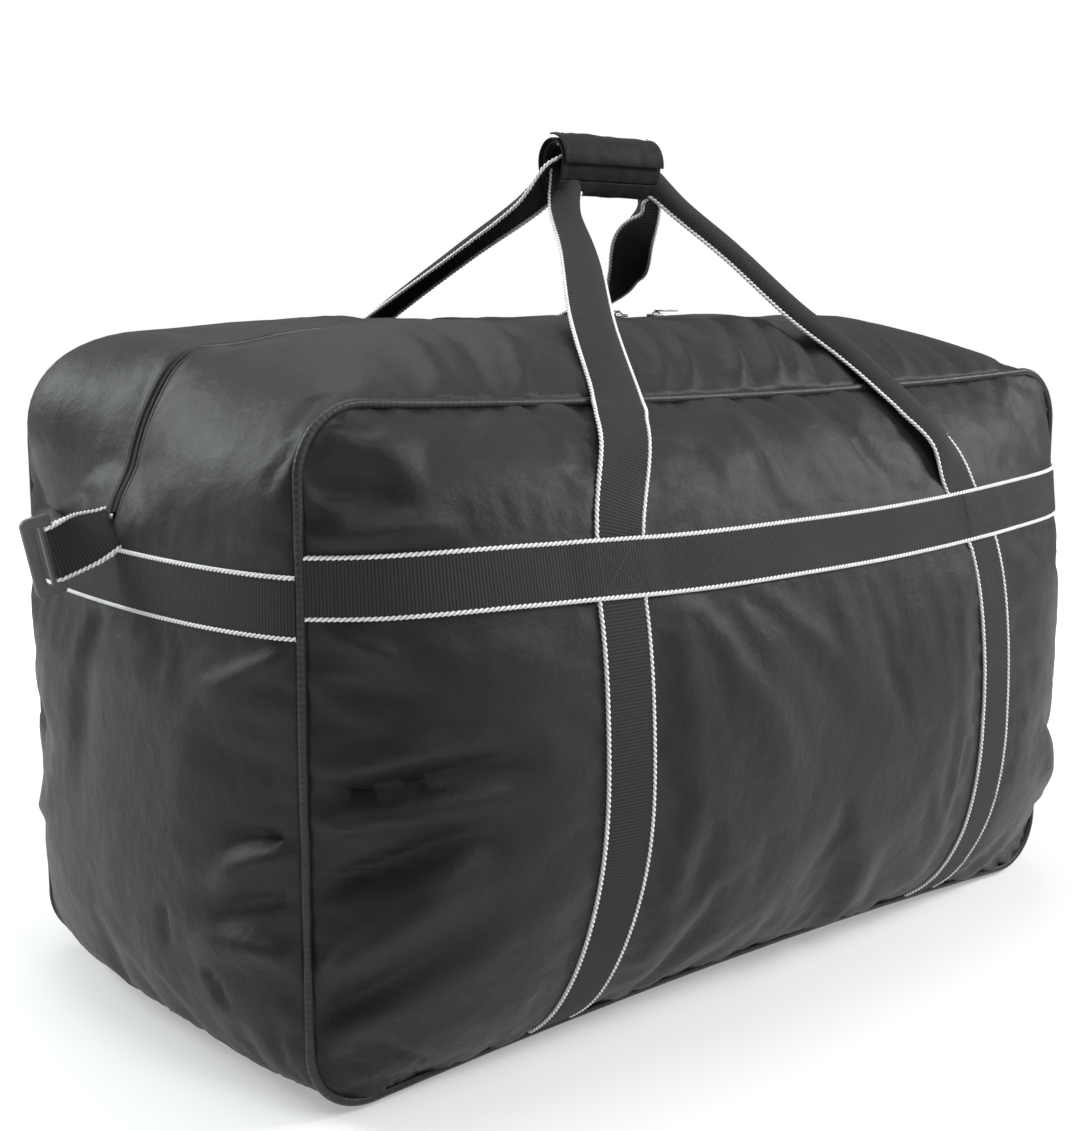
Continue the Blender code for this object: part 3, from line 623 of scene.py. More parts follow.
# Folds on the ends and the top, as (distance round the outline, y) ends.
GUSSET_FOLDS = (
    ((on_left(0.360), -0.212), (on_left(0.318), -0.130), 0.013, 0.0040, 0.000),
    ((on_left(0.222), -0.222), (on_left(0.224), -0.160), 0.009, -0.0045, 0.000),
    ((on_left(0.215), -0.214), (on_left(0.180), -0.150), 0.012, 0.0050, 0.004),
    ((on_left(0.180), -0.222), (on_left(0.158), -0.145), 0.010, -0.0048, 0.000),
    ((on_left(0.134), -0.216), (on_left(0.128), -0.120), 0.015, 0.0045, 0.006),
    ((on_left(0.146), -0.086), (on_left(0.112), -0.084), 0.006, -0.0022, 0.000),
    ((on_left(0.106), -0.138), (on_left(0.072), -0.150), 0.006, -0.0024, 0.000),
    ((on_left(0.372), 0.015), (on_left(0.200), 0.040), 0.022, -0.0030, 0.008),
    ((on_left(0.430), 0.160), (on_left(0.468), 0.020), 0.007, 0.0022, 0.000),
    ((on_left(0.150), 0.216), (on_left(0.190), 0.110), 0.015, 0.0022, 0.004),
    ((on_left(0.245), 0.220), (on_left(0.240), 0.140), 0.012, -0.0040, 0.000),
    ((on_right(0.150), -0.216), (on_right(0.190), -0.110), 0.015, 0.0018, 0.004),
    ((on_right(0.250), 0.216), (on_right(0.215), 0.120), 0.014, 0.0045, 0.004),
    ((on_right(0.180), 0.222), (on_right(0.158), 0.145), 0.010, -0.0045, 0.000),
    ((on_right(0.372), -0.015), (on_right(0.200), -0.040), 0.022, -0.0030, 0.008),
    ((on_top(-0.250), -0.222), (on_top(-0.190), -0.060), 0.011, 0.0030, 0.010),
    ((on_top(-0.285), -0.222), (on_top(-0.240), -0.080), 0.012, -0.0026, 0.008),
    ((on_top(-0.330), -0.222), (on_top(-0.300), -0.090), 0.014, 0.0026, 0.008),
    ((on_top(-0.096), -0.224), (on_top(-0.030), -0.080), 0.008, 0.0030, 0.010),
    ((on_top(-0.066), -0.224), (on_top(0.000), -0.070), 0.009, 0.0034, 0.012),
    ((on_top(-0.008), -0.224), (on_top(0.070), -0.045), 0.009, 0.0046, 0.016),
    ((on_top(0.012), -0.224), (on_top(0.088), -0.060), 0.008, -0.0034, 0.014),
    ((on_top(0.042), -0.224), (on_top(0.115), -0.050), 0.010, 0.0044, 0.014),
    ((on_top(0.070), -0.224), (on_top(0.140), -0.065), 0.009, 0.0034, 0.010),
    ((on_top(0.105), -0.224), (on_top(0.175), -0.060), 0.012, -0.0036, 0.010),
    ((on_top(0.230), -0.224), (on_top(0.250), -0.090), 0.013, 0.0028, 0.008),
    ((on_top(0.320), -0.224), (on_top(0.335), -0.100), 0.012, -0.0026, 0.006),
    ((on_top(-0.060), 0.224), (on_top(-0.100), 0.060), 0.010, 0.0036, 0.010),
    ((on_top(0.010), 0.224), (on_top(-0.040), 0.050), 0.011, 0.0040, 0.012),
    ((on_top(0.070), 0.224), (on_top(0.030), 0.070), 0.010, -0.0032, 0.010),
    ((on_top(0.240), 0.224), (on_top(0.215), 0.080), 0.013, 0.0034, 0.008),
    ((on_top(-0.240), 0.224), (on_top(-0.215), 0.080), 0.013, 0.0034, 0.008),
)
# Where the ends bend into the top: the cloth pulls flat across the zipper there and stands out
# again just above.
BEND_HEIGHT, BEND_X = 0.490, 0.415
BEND_DENT, BEND_PEAK = -0.012, 0.009
# Gathers along the seams, coarse and fine: wavelength, height, reach and noise seed.
PANEL_GATHERS = ((0.034, 0.0030, 0.030, 11), (0.015, 0.0013, 0.011, 12))
GUSSET_GATHERS = ((0.034, 0.0026, 0.028, 21), (0.015, 0.0012, 0.010, 22))


def seam_gathers(seam_place, to_seam, gathers):
    """Gathers that a seam pulls into the cloth beside it: rounded ridges, sharp valleys."""
    total = 0.0
    for wavelength, height, reach, seed in gathers:
        ridges = np.abs(noise_at(seam_place, wavelength, seed)) * 2.2 - 0.6
        near = np.exp(-to_seam / reach) * (1.0 - np.exp(-to_seam / 0.0035))
        total = total + height * ridges * near
    return total


WAIST_AT = (-0.46, -0.36, -0.29, -0.13, 0.04, 0.12, 0.21, 0.30, 0.46)
WAIST_RISE = (0.0010, 0.0048, 0.0050, 0.0010, 0.0020, 0.0042, 0.0080, 0.0120, 0.0125)


def waist_height(x):
    """Centre height of the waist strap, which wanders a little and rides up at the right."""
    near = [np.interp(x + step, WAIST_AT, WAIST_RISE) for step in (-0.04, -0.02, 0.0, 0.02, 0.04)]
    return STRAP_HEIGHT + np.mean(near, axis=0)


def riser_place(z):
    """Distance of a riser's centre from mid-length at a height on the panel."""
    lean = np.clip((z - RISER_BEND) / (RISER_TOP[1] - RISER_BEND), 0.0, 1.2)
    return RISER_X + (RISER_TOP[0] - RISER_X) * lean


def under_webbing(distance):
    """1 within reach of the middle of sewn webbing, 0 away from it."""
    return smooth((WEBBING / 2 + 0.016 - distance) / 0.014)


def strap_cover(x, z):
    """1 under the panels' webbing, 0 away from it."""
    to_waist, to_riser = z - waist_height(x), np.abs(x) - riser_place(z)
    return under_webbing(np.minimum(np.abs(to_waist), np.abs(to_riser)))


def end_strap_cover(distance):
    """1 under an end strap, 0 away from it."""
    near = [np.abs(distance - on_left(END_STRAP_HEIGHT)),
            np.abs(distance - on_right(END_STRAP_HEIGHT))]
    return under_webbing(np.minimum(*near))


def panel_swell(x, z, side):
    """Broad unevenness of the stuffed panel, which the webbing follows too."""
    flat = np.stack([x + 0.5 * z, z - 0.3 * x, np.full_like(x, 0.3 * side)], -1)
    inset = np.minimum(HALF_LENGTH - np.abs(x), HALF_HEIGHT - np.abs(z - HALF_HEIGHT))
    return SWELL_HEIGHT * noise_at(flat, SWELL_LENGTH, 3) * smooth(inset / SWELL_INSET)


def panel_relief(x, z, side, folds):
    """Height of the folds, gathers and unevenness over a panel's plain pillow."""
    share = outline_share(x, z)
    seam = np.stack([x / share, (z - HALF_HEIGHT) / share, np.full_like(x, 0.7 * side)], -1)
    to_seam = (1.0 - share) * np.linalg.norm(seam[..., :2], axis=-1)
    held = smooth(to_seam / SEAM_HOLD)
    relief = FOLD_GAIN * sum(fold(x, z, a, b, w, h, bend) for a, b, w, h, bend in folds) * held
    flat = np.stack([x, z, np.full_like(x, 0.3 * side)], -1)
    slant = flat @ np.array([[1.0, 0.55, 0.0], [-0.55, 1.6, 0.0], [0.0, 0.0, 1.0]])
    relief = relief + 0.0011 * noise_at(slant, 0.055, 5) * held
    lean = 0.25 * (z - HALF_HEIGHT)
    wander = np.stack([seam[..., 0] + lean * (np.abs(seam[..., 0]) < FLAT_X), seam[..., 1],
                       seam[..., 2]], -1)
    gathers = seam_gathers(wander, to_seam, PANEL_GATHERS)
    corner = smooth((np.hypot(np.maximum(np.abs(x) - FLAT_X, 0),
                              np.maximum(np.abs(z - HALF_HEIGHT) - FLAT_Z, 0)) - 0.004) / 0.03)
    relief = relief + gathers * (1.0 + 0.9 * corner)
    return relief * (1.0 - strap_cover(x, z)) + panel_swell(x, z, side)


def panel_smooth(x, z, side):
    """The plain stuffed panel, before folds: x, y, z."""
    dip, rise = seam_shift(x, z)
    return np.stack([x, side * (HALF_DEPTH + pillow(x, z)), z + dip + rise], -1)


def panel_normal(x, z, side):
    step = NORMAL_STEP
    along = panel_smooth(x + step, z, side) - panel_smooth(x - step, z, side)
    up = panel_smooth(x, z + step, side) - panel_smooth(x, z - step, side)
    return unit(np.cross(along, up)) * -side


def top_fullness(x, y, z):
    """Extra height of the stuffed top beside the zipper, none at the seams."""
    corner = 0.010 * bell(x, -0.375, 0.065) * bell(y, 0.12, 0.09)
    crown = 0.0015 * (1.0 - bell(y, 0.0, 0.03)) * smooth((HALF_LENGTH - np.abs(x)) / 0.06)
    inside = smooth((HALF_DEPTH - np.abs(y)) / 0.06) * smooth((z - 0.43) / 0.09)
    return (corner + crown) * inside


def back_left_fullness(distance, y, z):
    """Outward push that squares the back left corner and stands the end more upright below it."""
    at_corner = (on_left(BEND_HEIGHT) + on_top(-BEND_X)) / 2
    inside = smooth((HALF_DEPTH - np.abs(y)) / 0.05)
    corner = 0.031 * bell(distance, at_corner, 0.055) * bell(y, 0.145, 0.08)
    on_end = smooth((y - 0.02) / 0.10) * (0.010 * smooth((0.24 - z) / 0.12)
                                          - 0.015 * bell(distance, on_left(0.43), 0.07))
    return (corner + on_end * (distance < at_corner + 0.1)) * inside


def gusset_smooth(distance, y):
    """The top, ends and base: x, y, z at a distance round the outline and a depth y."""
    x, z, nx, nz = outline_at(distance)
    share = np.minimum(np.abs(y) / HALF_DEPTH, 1.0)
    crown = 1.0 - share ** 2.2
    level = np.minimum(np.abs(z - HALF_HEIGHT) / HALF_HEIGHT, 1.0)
    end = END_BULGE * (1.0 - level ** 3.5) * crown ** 0.68
    past_flat = np.clip((np.abs(x) - FLAT_HALF) / (HALF_LENGTH - FLAT_HALF), 0.0, 1.0)
    top = TOP_BULGE * (1.0 - past_flat ** 2.4) * crown ** 0.7
    reach = np.abs(nx) ** 1.2 * end + np.maximum(nz, 0.0) ** 1.2 * top
    reach = reach + np.where(x < 0.0, back_left_fullness(distance, y, z), 0.0)
    dip, rise = seam_shift(x, z)
    near_seam = np.maximum(share - 0.5, 0.0) * 2.0
    shift = dip * share ** 3 + rise * near_seam ** 2
    shift = shift + top_fullness(x, y, z)
    return np.stack([x + nx * reach, y + 0.0 * x, z + nz * reach + shift], -1)


def gusset_normal(distance, y):
    step = NORMAL_STEP
    along = gusset_smooth(distance + step, y) - gusset_smooth(distance - step, y)
    across = gusset_smooth(distance, y + step) - gusset_smooth(distance, y - step)
    return unit(np.cross(across, along))


def gusset_relief(distance, y):
    """Height of the folds, gathers and unevenness over the plain top, ends and base."""
    x, _, _, nz = outline_at(distance)
    to_seam = HALF_DEPTH - np.abs(y)
    held = smooth(to_seam / SEAM_HOLD)
    relief = sum(fold(distance, y, a, b, w, h, bend) for a, b, w, h, bend in GUSSET_FOLDS)
    relief = FOLD_GAIN * relief * held
    flat = np.stack([distance, y, np.full_like(y, 0.5)], -1)
    slant = flat @ np.array([[1.0, 0.4, 0.0], [-0.4, 1.2, 0.0], [0.0, 0.0, 1.0]])
    relief = relief + 0.0036 * noise_at(slant, 0.15, 8) * held
    relief = relief + 0.0010 * noise_at(slant, 0.05, 9) * held
    seam = np.stack([distance + 0.15 * y, np.sign(y), np.full_like(y, 2.0)], -1)
    relief += seam_gathers(seam, to_seam, GUSSET_GATHERS)
    for place in (on_left(BEND_HEIGHT), on_right(BEND_HEIGHT)):
        relief += BEND_DENT * bell(distance, place, 0.030) * bell(y, 0.0, 0.085)
    for place in (on_top(-BEND_X), on_top(BEND_X)):
        relief += BEND_PEAK * bell(distance, place, 0.028) * bell(y, 0.0, 0.085)
    near_slider = smooth((FLAT_HALF + 0.04 - np.abs(x)) / 0.04) * (nz > 0.5)
    beside_zip = 1.0 - smooth((np.abs(y) - 0.014) / 0.03)
    relief *= 1.0 - near_slider * beside_zip
    relief *= 1.0 - end_strap_cover(distance)
    on_floor = smooth((-nz - 0.2) / 0.5)
    return relief * (1.0 - 0.97 * on_floor) + end_swell(distance, y)


def on_border(grid):
    """1 on the first and last row and column, 0 inside."""
    border = np.ones(grid.shape)
    border[1:-1, 1:-1] = 0.0
    return border


def end_swell(distance, y):
    """The ends bulge more low down, where the load settles; the end straps follow this too."""
    low = bell(distance, on_left(0.19), 0.16) + bell(distance, on_right(0.19), 0.16)
    inset = smooth((HALF_DEPTH - np.abs(y)) / 0.10)
    return 0.006 * low * inset


def lip_relief(distance, y):
    """The folded edge beside the zipper: it rolls under at the edge and dips at its stitching."""
    from_edge = np.abs(y) - LIP
    roll = -0.0014 * (1.0 - smooth(from_edge / 0.0020))
    welt = (0.0004 * bell(from_edge, 0.0022, 0.0014)
            - 0.0006 * bell(from_edge, LIP_STITCHES, 0.0011))
    return roll + welt * (from_edge < 0.02)


class Surface:
    """A cloth grid: its two coordinates' values and a point for each pair of them."""

    def __init__(self, us, vs, points):
        self.us, self.vs, self.points = us, vs, points

    def coordinates(self):
        return np.meshgrid(self.us, self.vs, indexing="ij")


def eased(low, high, step, crowd=0.35):
    """Values from low to high, closer together towards both ends."""
    count = max(2, round((high - low) / step))
    t = np.linspace(-1.0, 1.0, count + 1)
    t = (1.0 - crowd) * t + crowd * np.sin(t * math.pi / 2)
    return (low + high) / 2 + t * (high - low) / 2


def rounded(x, z, half_x, half_z, radius):
    """Moves the points of a rectangle's corner squares into quarter circles."""
    dx, dz = np.abs(x) - (half_x - radius), np.abs(z) - (half_z - radius)
    inside = (dx > 0) & (dz > 0)
    reach = np.maximum(np.maximum(dx, dz), 1e-9)
    angle = math.pi / 4 * np.clip(np.minimum(dx, dz), 0, None) / reach
    long_side, short_side = reach * np.cos(angle), reach * np.sin(angle)
    new_x = half_x - radius + np.where(dx >= dz, long_side, short_side)
    new_z = half_z - radius + np.where(dx >= dz, short_side, long_side)
    return (np.where(inside, np.copysign(new_x, x), x), np.where(inside, np.copysign(new_z, z), z))


def panel_surface(side, folds):
    """The front or back panel as a grid, with 1 where its webbing holds it.

    Its edge runs along the middle of the piping."""
    half_x, half_z = HALF_LENGTH - SEWN_EDGE, HALF_HEIGHT - SEWN_EDGE
    us, vs = eased(-half_x, half_x, CELL), eased(-half_z, half_z, CELL)
    u, v = np.meshgrid(us, vs, indexing="ij")
    x, z = rounded(u, v, half_x, half_z, CORNER - SEWN_EDGE)
    z = z + HALF_HEIGHT
    normals = panel_normal(x, z, side)
    points = panel_smooth(x, z, side) + normals * panel_relief(x, z, side, folds)[..., None]
    return Surface(us, vs + HALF_HEIGHT, points), strap_cover(x, z)


def gusset_surface(first, last, ys, lip=False):
    """A stretch of the top, ends or base as a grid over the distance round and the depth."""
    us = np.linspace(first, last, round((last - first) / CELL) + 1)
    u, v = np.meshgrid(us, ys, indexing="ij")
    normals = gusset_normal(u, v)
    relief = gusset_relief(u, v)
    if lip:
        relief = relief + lip_relief(u, v)
    return Surface(us, ys, gusset_smooth(u, v) + normals * relief[..., None])


# The short cloth simulation: its length, the cloth's extra size, the furthest that a point may
# move, and the cloth's stiffness, damping and the push of the equipment inside.
SETTLE_FRAMES, SETTLE_SLACK, SETTLE_CAP = 20, 0.014, 0.009
SETTLE_CLOTH = {
    "quality": 6,
    "vertex_group_mass": "held",
    "tension_stiffness": 22.0,
    "compression_stiffness": 22.0,
    "shear_stiffness": 9.0,
    "bending_stiffness": 0.35,
    "tension_damping": 12.0,
    "compression_damping": 12.0,
    "air_damping": 2.5,
    "use_pressure": True,
    "uniform_pressure_force": 1.5,
    "shrink_min": -SETTLE_SLACK,
    "shrink_max": -SETTLE_SLACK,
}


def settled(surface, held, flip=False):
    """The grid after a short cloth simulation: cloth a little too large for its sewn edges.

    held is 1 where the cloth is stitched down and 0 where it is free. The result is capped, so
    the simulation only adds the gathers and fullness between the folds already in the grid.
    """
    held = np.maximum(held, on_border(held))
    rows, columns = surface.points.shape[:2]
    mesh = new_mesh("settling", surface.points, grid_faces(rows, columns, flip=flip))
    obj = in_scene("settling", mesh)
    group = obj.vertex_groups.new(name="held")
    for index, weight in enumerate(np.clip(held, 0.0, 1.0).reshape(-1)):
        if weight > 0.0:
            group.add([index], float(weight), "REPLACE")
    cloth = obj.modifiers.new("cloth", "CLOTH")
    cloth.collision_settings.use_collision = False
    cloth.point_cache.frame_end = SETTLE_FRAMES
    for key, value in SETTLE_CLOTH.items():
        setattr(cloth.settings, key, value)
    cloth.settings.effector_weights.gravity = 0.0
    scene = bpy.context.scene
    for number in range(1, SETTLE_FRAMES + 1):
        scene.frame_set(number)
    shape = obj.evaluated_get(bpy.context.evaluated_depsgraph_get()).data
    moved = np.empty(rows * columns * 3)
    shape.vertices.foreach_get("co", moved)
    shift = moved.reshape(rows, columns, 3) - surface.points
    length = np.linalg.norm(shift, axis=-1, keepdims=True)
    shift *= np.minimum(1.0, SETTLE_CAP / np.maximum(length, 1e-9))
    bpy.data.objects.remove(obj)
    bpy.data.meshes.remove(mesh)
    scene.frame_set(1)
    return Surface(surface.us, surface.vs, surface.points + shift)


def cloth_piece(name, surface, node, flip=False):
    """A sewn panel: its grid with the cloth's thickness."""
    rows, columns = surface.points.shape[:2]
    u, v = surface.coordinates()
    obj = add_mesh(name, surface.points, grid_faces(rows, columns, flip=flip), SHELL_CLOTH, "bag",
                   "polyester", np.stack([u, v, 0 * u], -1), smooth_angle=80.0)
    thicken(obj, FABRIC)
    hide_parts(node)


def add_shell():
    """Front, back, two top halves with the zipper's lips, two ends and the base."""
    for name, side, folds in (("front", -1, FRONT_FOLDS), ("back", 1, BACK_FOLDS)):
        surface, held = panel_surface(side, folds)
        cloth_piece(f"{name}_panel_cloth", settled(surface, held, flip=side < 0),
                    f"{name}_panel", flip=side < 0)
    edge = HALF_DEPTH - SEWN_EDGE
    lip_ys = [LIP, *np.arange(LIP + 0.0007, LIP + 0.009, 0.0009)]
    ys = np.array([*lip_ys, *eased(lip_ys[-1] + 0.004, edge, CELL, 0.2)])
    first, last = on_right(SPLIT_HEIGHT), on_left(SPLIT_HEIGHT)
    for name, side in (("front", -1), ("back", 1)):
        surface = gusset_surface(first, last, np.sort(side * ys), lip=True)
        distance, y = surface.coordinates()
        lips = smooth((LIP + 0.016 - np.abs(y)) / 0.008)
        level = np.abs(outline_at(distance)[0]) < FLAT_HALF
        beside_slider = smooth((0.045 - np.abs(y)) / 0.03) * level
        held = np.maximum(np.maximum(lips, beside_slider), end_strap_cover(distance))
        cloth_piece(f"top_{name}_cloth", settled(surface, held), f"top_gusset_{name}")
    across = eased(-edge, edge, CELL)
    for name, start, stop in (("left", on_left(SPLIT_HEIGHT), PERIMETER - FLAT_X + 0.012),
                              ("right", FLAT_X - 0.012, on_right(SPLIT_HEIGHT))):
        surface = gusset_surface(start, stop, across)
        distance = surface.coordinates()[0]
        foot = smooth((-outline_at(distance)[3] - 0.5) / 0.3)
        held = np.maximum(end_strap_cover(distance), foot)
        cloth_piece(f"{name}_end_cloth", settled(surface, held), f"{name}_end_panel")
    base = gusset_surface(PERIMETER - FLAT_X, PERIMETER + FLAT_X, across)
    cloth_piece("base_cloth", base, "base_panel")


# ---- piping, zipper -----------------------------------------------------------------------------

PIPING_SIDES = 14
COIL_PITCH, COIL_WIRE = 0.0016, 0.00036
COIL_OFF, COIL_HALF_WIDE, COIL_HALF_TALL = 0.00125, 0.00125, 0.00085
STOP_LONG, STOP_HALF_WIDE = 0.005, 0.0036


def add_piping():
    """Cloth-covered cord round the front seam and the back seam, a little uneven."""
    distance = np.arange(0.0, PERIMETER - 0.001, 0.003)
    for name, side in (("front", -1), ("back", 1)):
        path = gusset_smooth(distance, np.full_like(distance, side * HALF_DEPTH))
        x, z, nx, nz = outline_at(distance)
        outward = np.stack([nx, 0 * nx, nz], -1)
        loop = np.stack([x, np.full_like(x, side), z], -1)
        path = path + outward * (0.0007 * noise_at(loop, 0.11, 31))[:, None] * (nz > -0.5)[:, None]
        radius = PIPING_RADIUS * (1.0 + 0.035 * noise_at(loop, 0.016, 32)
                                  + 0.02 * noise_at(loop, 0.05, 33))
        verts, faces = tube(path, radius, PIPING_SIDES, closed=True, up=(0.0, 1.0, 0.0))
        angle = np.arange(PIPING_SIDES) * 2 * math.pi / PIPING_SIDES
        fabric = np.zeros((len(distance), PIPING_SIDES, 3))
        fabric[..., 0] = distance[:, None]
        fabric[..., 1] = PIPING_RADIUS * np.sin(angle)[None, :]
        obj = add_mesh(f"{name}_piping_tube", verts, faces, PIPING_CLOTH, "bag", "piping", fabric,
                       closed=True)
        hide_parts(f"{name}_piping")


def zip_line(y, lift, step=0.003):
    """Points along the zipper at depth y, lifted off the cloth's plane."""
    first, last = on_right(ZIP_END_HEIGHT), on_left(ZIP_END_HEIGHT)
    distance = np.linspace(first, last, round((last - first) / step) + 1)
    y = np.full_like(distance, y)
    normals = gusset_normal(distance, y)
    relief = gusset_relief(distance, y) + lift
    return gusset_smooth(distance, y) + normals * relief[:, None], normals, distance


def stitch_row(name, path, normals, material, body, slot, gap=STITCH_GAP):
    """Thread stitches lying along a path: short rounded strands with gaps between them."""
    rows, along = spaced(np.hstack([path, normals]), STITCH / 2)
    parts = []
    pitch = STITCH + gap
    for start in np.arange(gap, along[-1] - STITCH, pitch):
        t = start + STITCH * np.array([0.0, 0.18, 0.5, 0.82, 1.0])
        strand = np.stack([np.interp(t, along, rows[:, k]) for k in range(6)], -1)
        sink = THREAD * np.array([-1.2, 0.35, 0.6, 0.35, -1.2])
        centre = strand[:, :3] + strand[:, 3:] * sink[:, None]
        parts.append(tube(centre, THREAD * np.array([0.7, 1, 1, 1, 0.7]), 5, up=strand[2, 3:]))
    verts, faces = joined(parts)
    add_mesh(name, verts, faces, material, body, slot)


def add_zipper():
    """Two woven tapes, a pair of meshed nylon coils, end stops and the lips' stitching."""
    for name, side in (("front", -1), ("back", 1)):
        ys = np.sort(side * np.array([0.0006, 0.004, 0.009, TAPE_OUTER]))
        rows = [zip_line(y, -TAPE_DROP)[0] for y in ys]
        distance = zip_line(ys[0], 0.0)[2]
        points = np.stack(rows, 1)
        fabric = np.zeros(points.shape)
        fabric[..., 0], fabric[..., 1] = distance[:, None], ys[None, :]
        tape = add_mesh(f"zipper_{name}_tape_weave", points, grid_faces(len(distance), len(ys)),
                        TAPE_CLOTH, "bag", "seam_tape", fabric)
        thicken(tape, 0.0008)
        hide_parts(f"zipper_tape_{name}")

        centre, normals, distance = zip_line(side * COIL_OFF, -0.0008, step=COIL_PITCH / 8)
        turn = 2 * math.pi * distance / COIL_PITCH + (math.pi if side > 0 else 0.0)
        across = np.array([0.0, 1.0, 0.0])
        wire = (centre + across * (COIL_HALF_WIDE * np.cos(turn))[:, None] * side
                + normals * (COIL_HALF_TALL * np.sin(turn))[:, None])
        coil = add_mesh(f"zipper_{name}_coil_turns", *tube(wire, COIL_WIRE, 4, up=(0.3, 1.0, 0.2)),
                        COIL_NYLON, "bag", "zipper_coil")
        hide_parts(f"zipper_coil_{name}")

        path, normals, _ = zip_line(side * (LIP + LIP_STITCHES), -0.0001)
        stitch_row(f"zipper_{name}_lip_stitches", path, normals, THREAD_DARK, "bag", "polyester")
    for name, start in (("left", on_left(ZIP_END_HEIGHT - 0.001)),
                        ("right", on_right(ZIP_END_HEIGHT - 0.006))):
        u, v = np.meshgrid(start + np.linspace(0, STOP_LONG, 7),
                           np.linspace(-STOP_HALF_WIDE, STOP_HALF_WIDE, 9), indexing="ij")
        normals = gusset_normal(u, v)
        along = (u - start - STOP_LONG / 2) / (STOP_LONG / 2)
        arch = 0.0016 + 0.0009 * (1 - (v / STOP_HALF_WIDE) ** 2) * (1 - along ** 6)
        points = gusset_smooth(u, v) + normals * (gusset_relief(u, v) + arch)[..., None]
        stop = add_mesh(f"zipper_{name}_stop_bar", points, grid_faces(7, 9), METAL, "bag",
                        "zipper_metal")
        thicken(stop, 0.0016)
        round_edges(stop, 0.0003)
        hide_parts(f"zipper_stop_{name}")


# ---- webbing ------------------------------------------------------------------------------------

def curled(width, turn, shares):
    """Offsets across and inward of a strip's columns when its cross-section bends by turn."""
    s = shares * width
    turn = np.maximum(turn, 1e-4)[:, None]
    k = turn / width
    return np.sin(k * s) / k, -(1.0 - np.cos(k * s)) / k


def webbing(name, rows, facing, body, nodes, blend=None, width=WEBBING):
    """Ribbed webbing with a twisted white yarn along both edges.

    rows are x, y, z, an across hint (3) and the cross-section's bend in radians. facing is 1
    where across x along points out of the outer face, and -1 where it points in."""
    rows, along = spaced(rows, RIB / 2)
    centre, turn = rows[:, :3], rows[:, 6]
    tangent = unit(np.gradient(centre, axis=0))
    hint = rows[:, 3:6]
    across = unit(hint - tangent * (hint * tangent).sum(-1, keepdims=True))
    out = np.cross(across, tangent) * facing
    shares = np.linspace(-0.5, 0.5, WEBBING_COLUMNS)
    offset, sink = curled(width, turn, shares)
    rib = RIB_HEIGHT * np.where(np.arange(len(rows)) % 2, 1.0, -1.0)[:, None]
    edge_thin = 1.0 - 0.35 * (np.abs(shares) > 0.49)[None, :]
    faces_at = []
    for level in (1.0, -1.0):
        height = sink + level * (WEBBING_THICK / 2 * edge_thin + rib)
        faces_at.append(centre[:, None] + across[:, None] * offset[..., None]
                        + out[:, None] * height[..., None])
    ring = np.concatenate([faces_at[0], faces_at[1][:, ::-1]], axis=1)
    count = ring.shape[1]
    faces = grid_faces(len(rows), count, close_columns=True)
    last = (len(rows) - 1) * count
    faces += [tuple(range(count)), tuple(range(last + count - 1, last - 1, -1))]
    fabric = np.zeros(ring.shape)
    fabric[..., 0] = along[:, None]
    fabric[..., 1] = (np.concatenate([shares, shares[::-1]]) * width)[None, :]
    strip = add_mesh(f"{name}_web", ring, faces, WEB, None, "webbing", fabric, closed=True)

    parts, cords = [], []
    for end in (0, -1):
        edge = (faces_at[0][:, end] + faces_at[1][:, end]) / 2
        path, at = spaced(np.hstack([edge, out]), EDGING_TWIST / 4)
        parts.append(tube(path[:, :3], EDGING_RADIUS, EDGING_SIDES, up=path[:, 3:],
                          profile=twisted))
        angle = np.arange(EDGING_SIDES) * 2 * math.pi / EDGING_SIDES
        cord = np.zeros((len(path), EDGING_SIDES, 3))
        cord[..., 0] = at[:, None]
        cord[..., 1], cord[..., 2] = np.cos(2 * angle)[None, :], np.sin(2 * angle)[None, :]
        cords.append(cord.reshape(-1, 3))
    verts, faces = joined(parts)
    yarn = add_mesh(f"{name}_edging", verts, faces, EDGING, None, "webbing_edge",
                    np.vstack(cords), smooth_angle=70.0)
    for obj in (strip, yarn):
        if blend is None:
            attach(obj, body)
        else:
            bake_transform(obj)
    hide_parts(*nodes)


def twisted(angle, along):
    """Radius of a two-strand yarn round and along it."""
    return 1.0 + 0.27 * np.cos(2.0 * angle - 2.0 * math.pi * along / EDGING_TWIST)


def on_panel(x, z, side, lift, hint_step):
    """Flat webbing rows on a panel through (x, z); hint_step (dx, dz) points across them."""
    x, z = np.broadcast_arrays(np.asarray(x, float), np.asarray(z, float))

    def place(px, pz, height):
        height = np.asarray(panel_swell(px, pz, side) + height)[..., None]
        return panel_smooth(px, pz, side) + panel_normal(px, pz, side) * height

    dx, dz = hint_step
    hint = unit(place(x + dx, z + dz, lift) - place(x - dx, z - dz, lift))
    return np.column_stack([place(x, z, lift), hint, np.zeros(len(x))])


def crossing_lift(x):
    """Height of a waist strap's middle off the cloth: more where it runs over a riser."""
    near = 1.0 - smooth((np.abs(np.abs(x) - RISER_X) - WEBBING * 0.58) / 0.022)
    return SEWN_LIFT + CROSSING_LIFT * near


def add_waist_straps():
    x = (HALF_LENGTH - 0.0025) * np.sin(np.linspace(-1, 1, 181) * math.pi / 2)
    for name, side in (("front", -1), ("back", 1)):
        rows = on_panel(x, waist_height(x), side, crossing_lift(x), (0.0, HINT_STEP))
        webbing(f"{name}_waist_strap", rows, side, "bag", [f"{name}_waist_strap"])


def on_end(distance, y):
    """Points of sewn webbing on an end of the bag."""
    distance = np.full_like(y, distance)
    raised = end_swell(distance, y) + SEWN_LIFT
    return gusset_smooth(distance, y) + gusset_normal(distance, y) * raised[:, None]


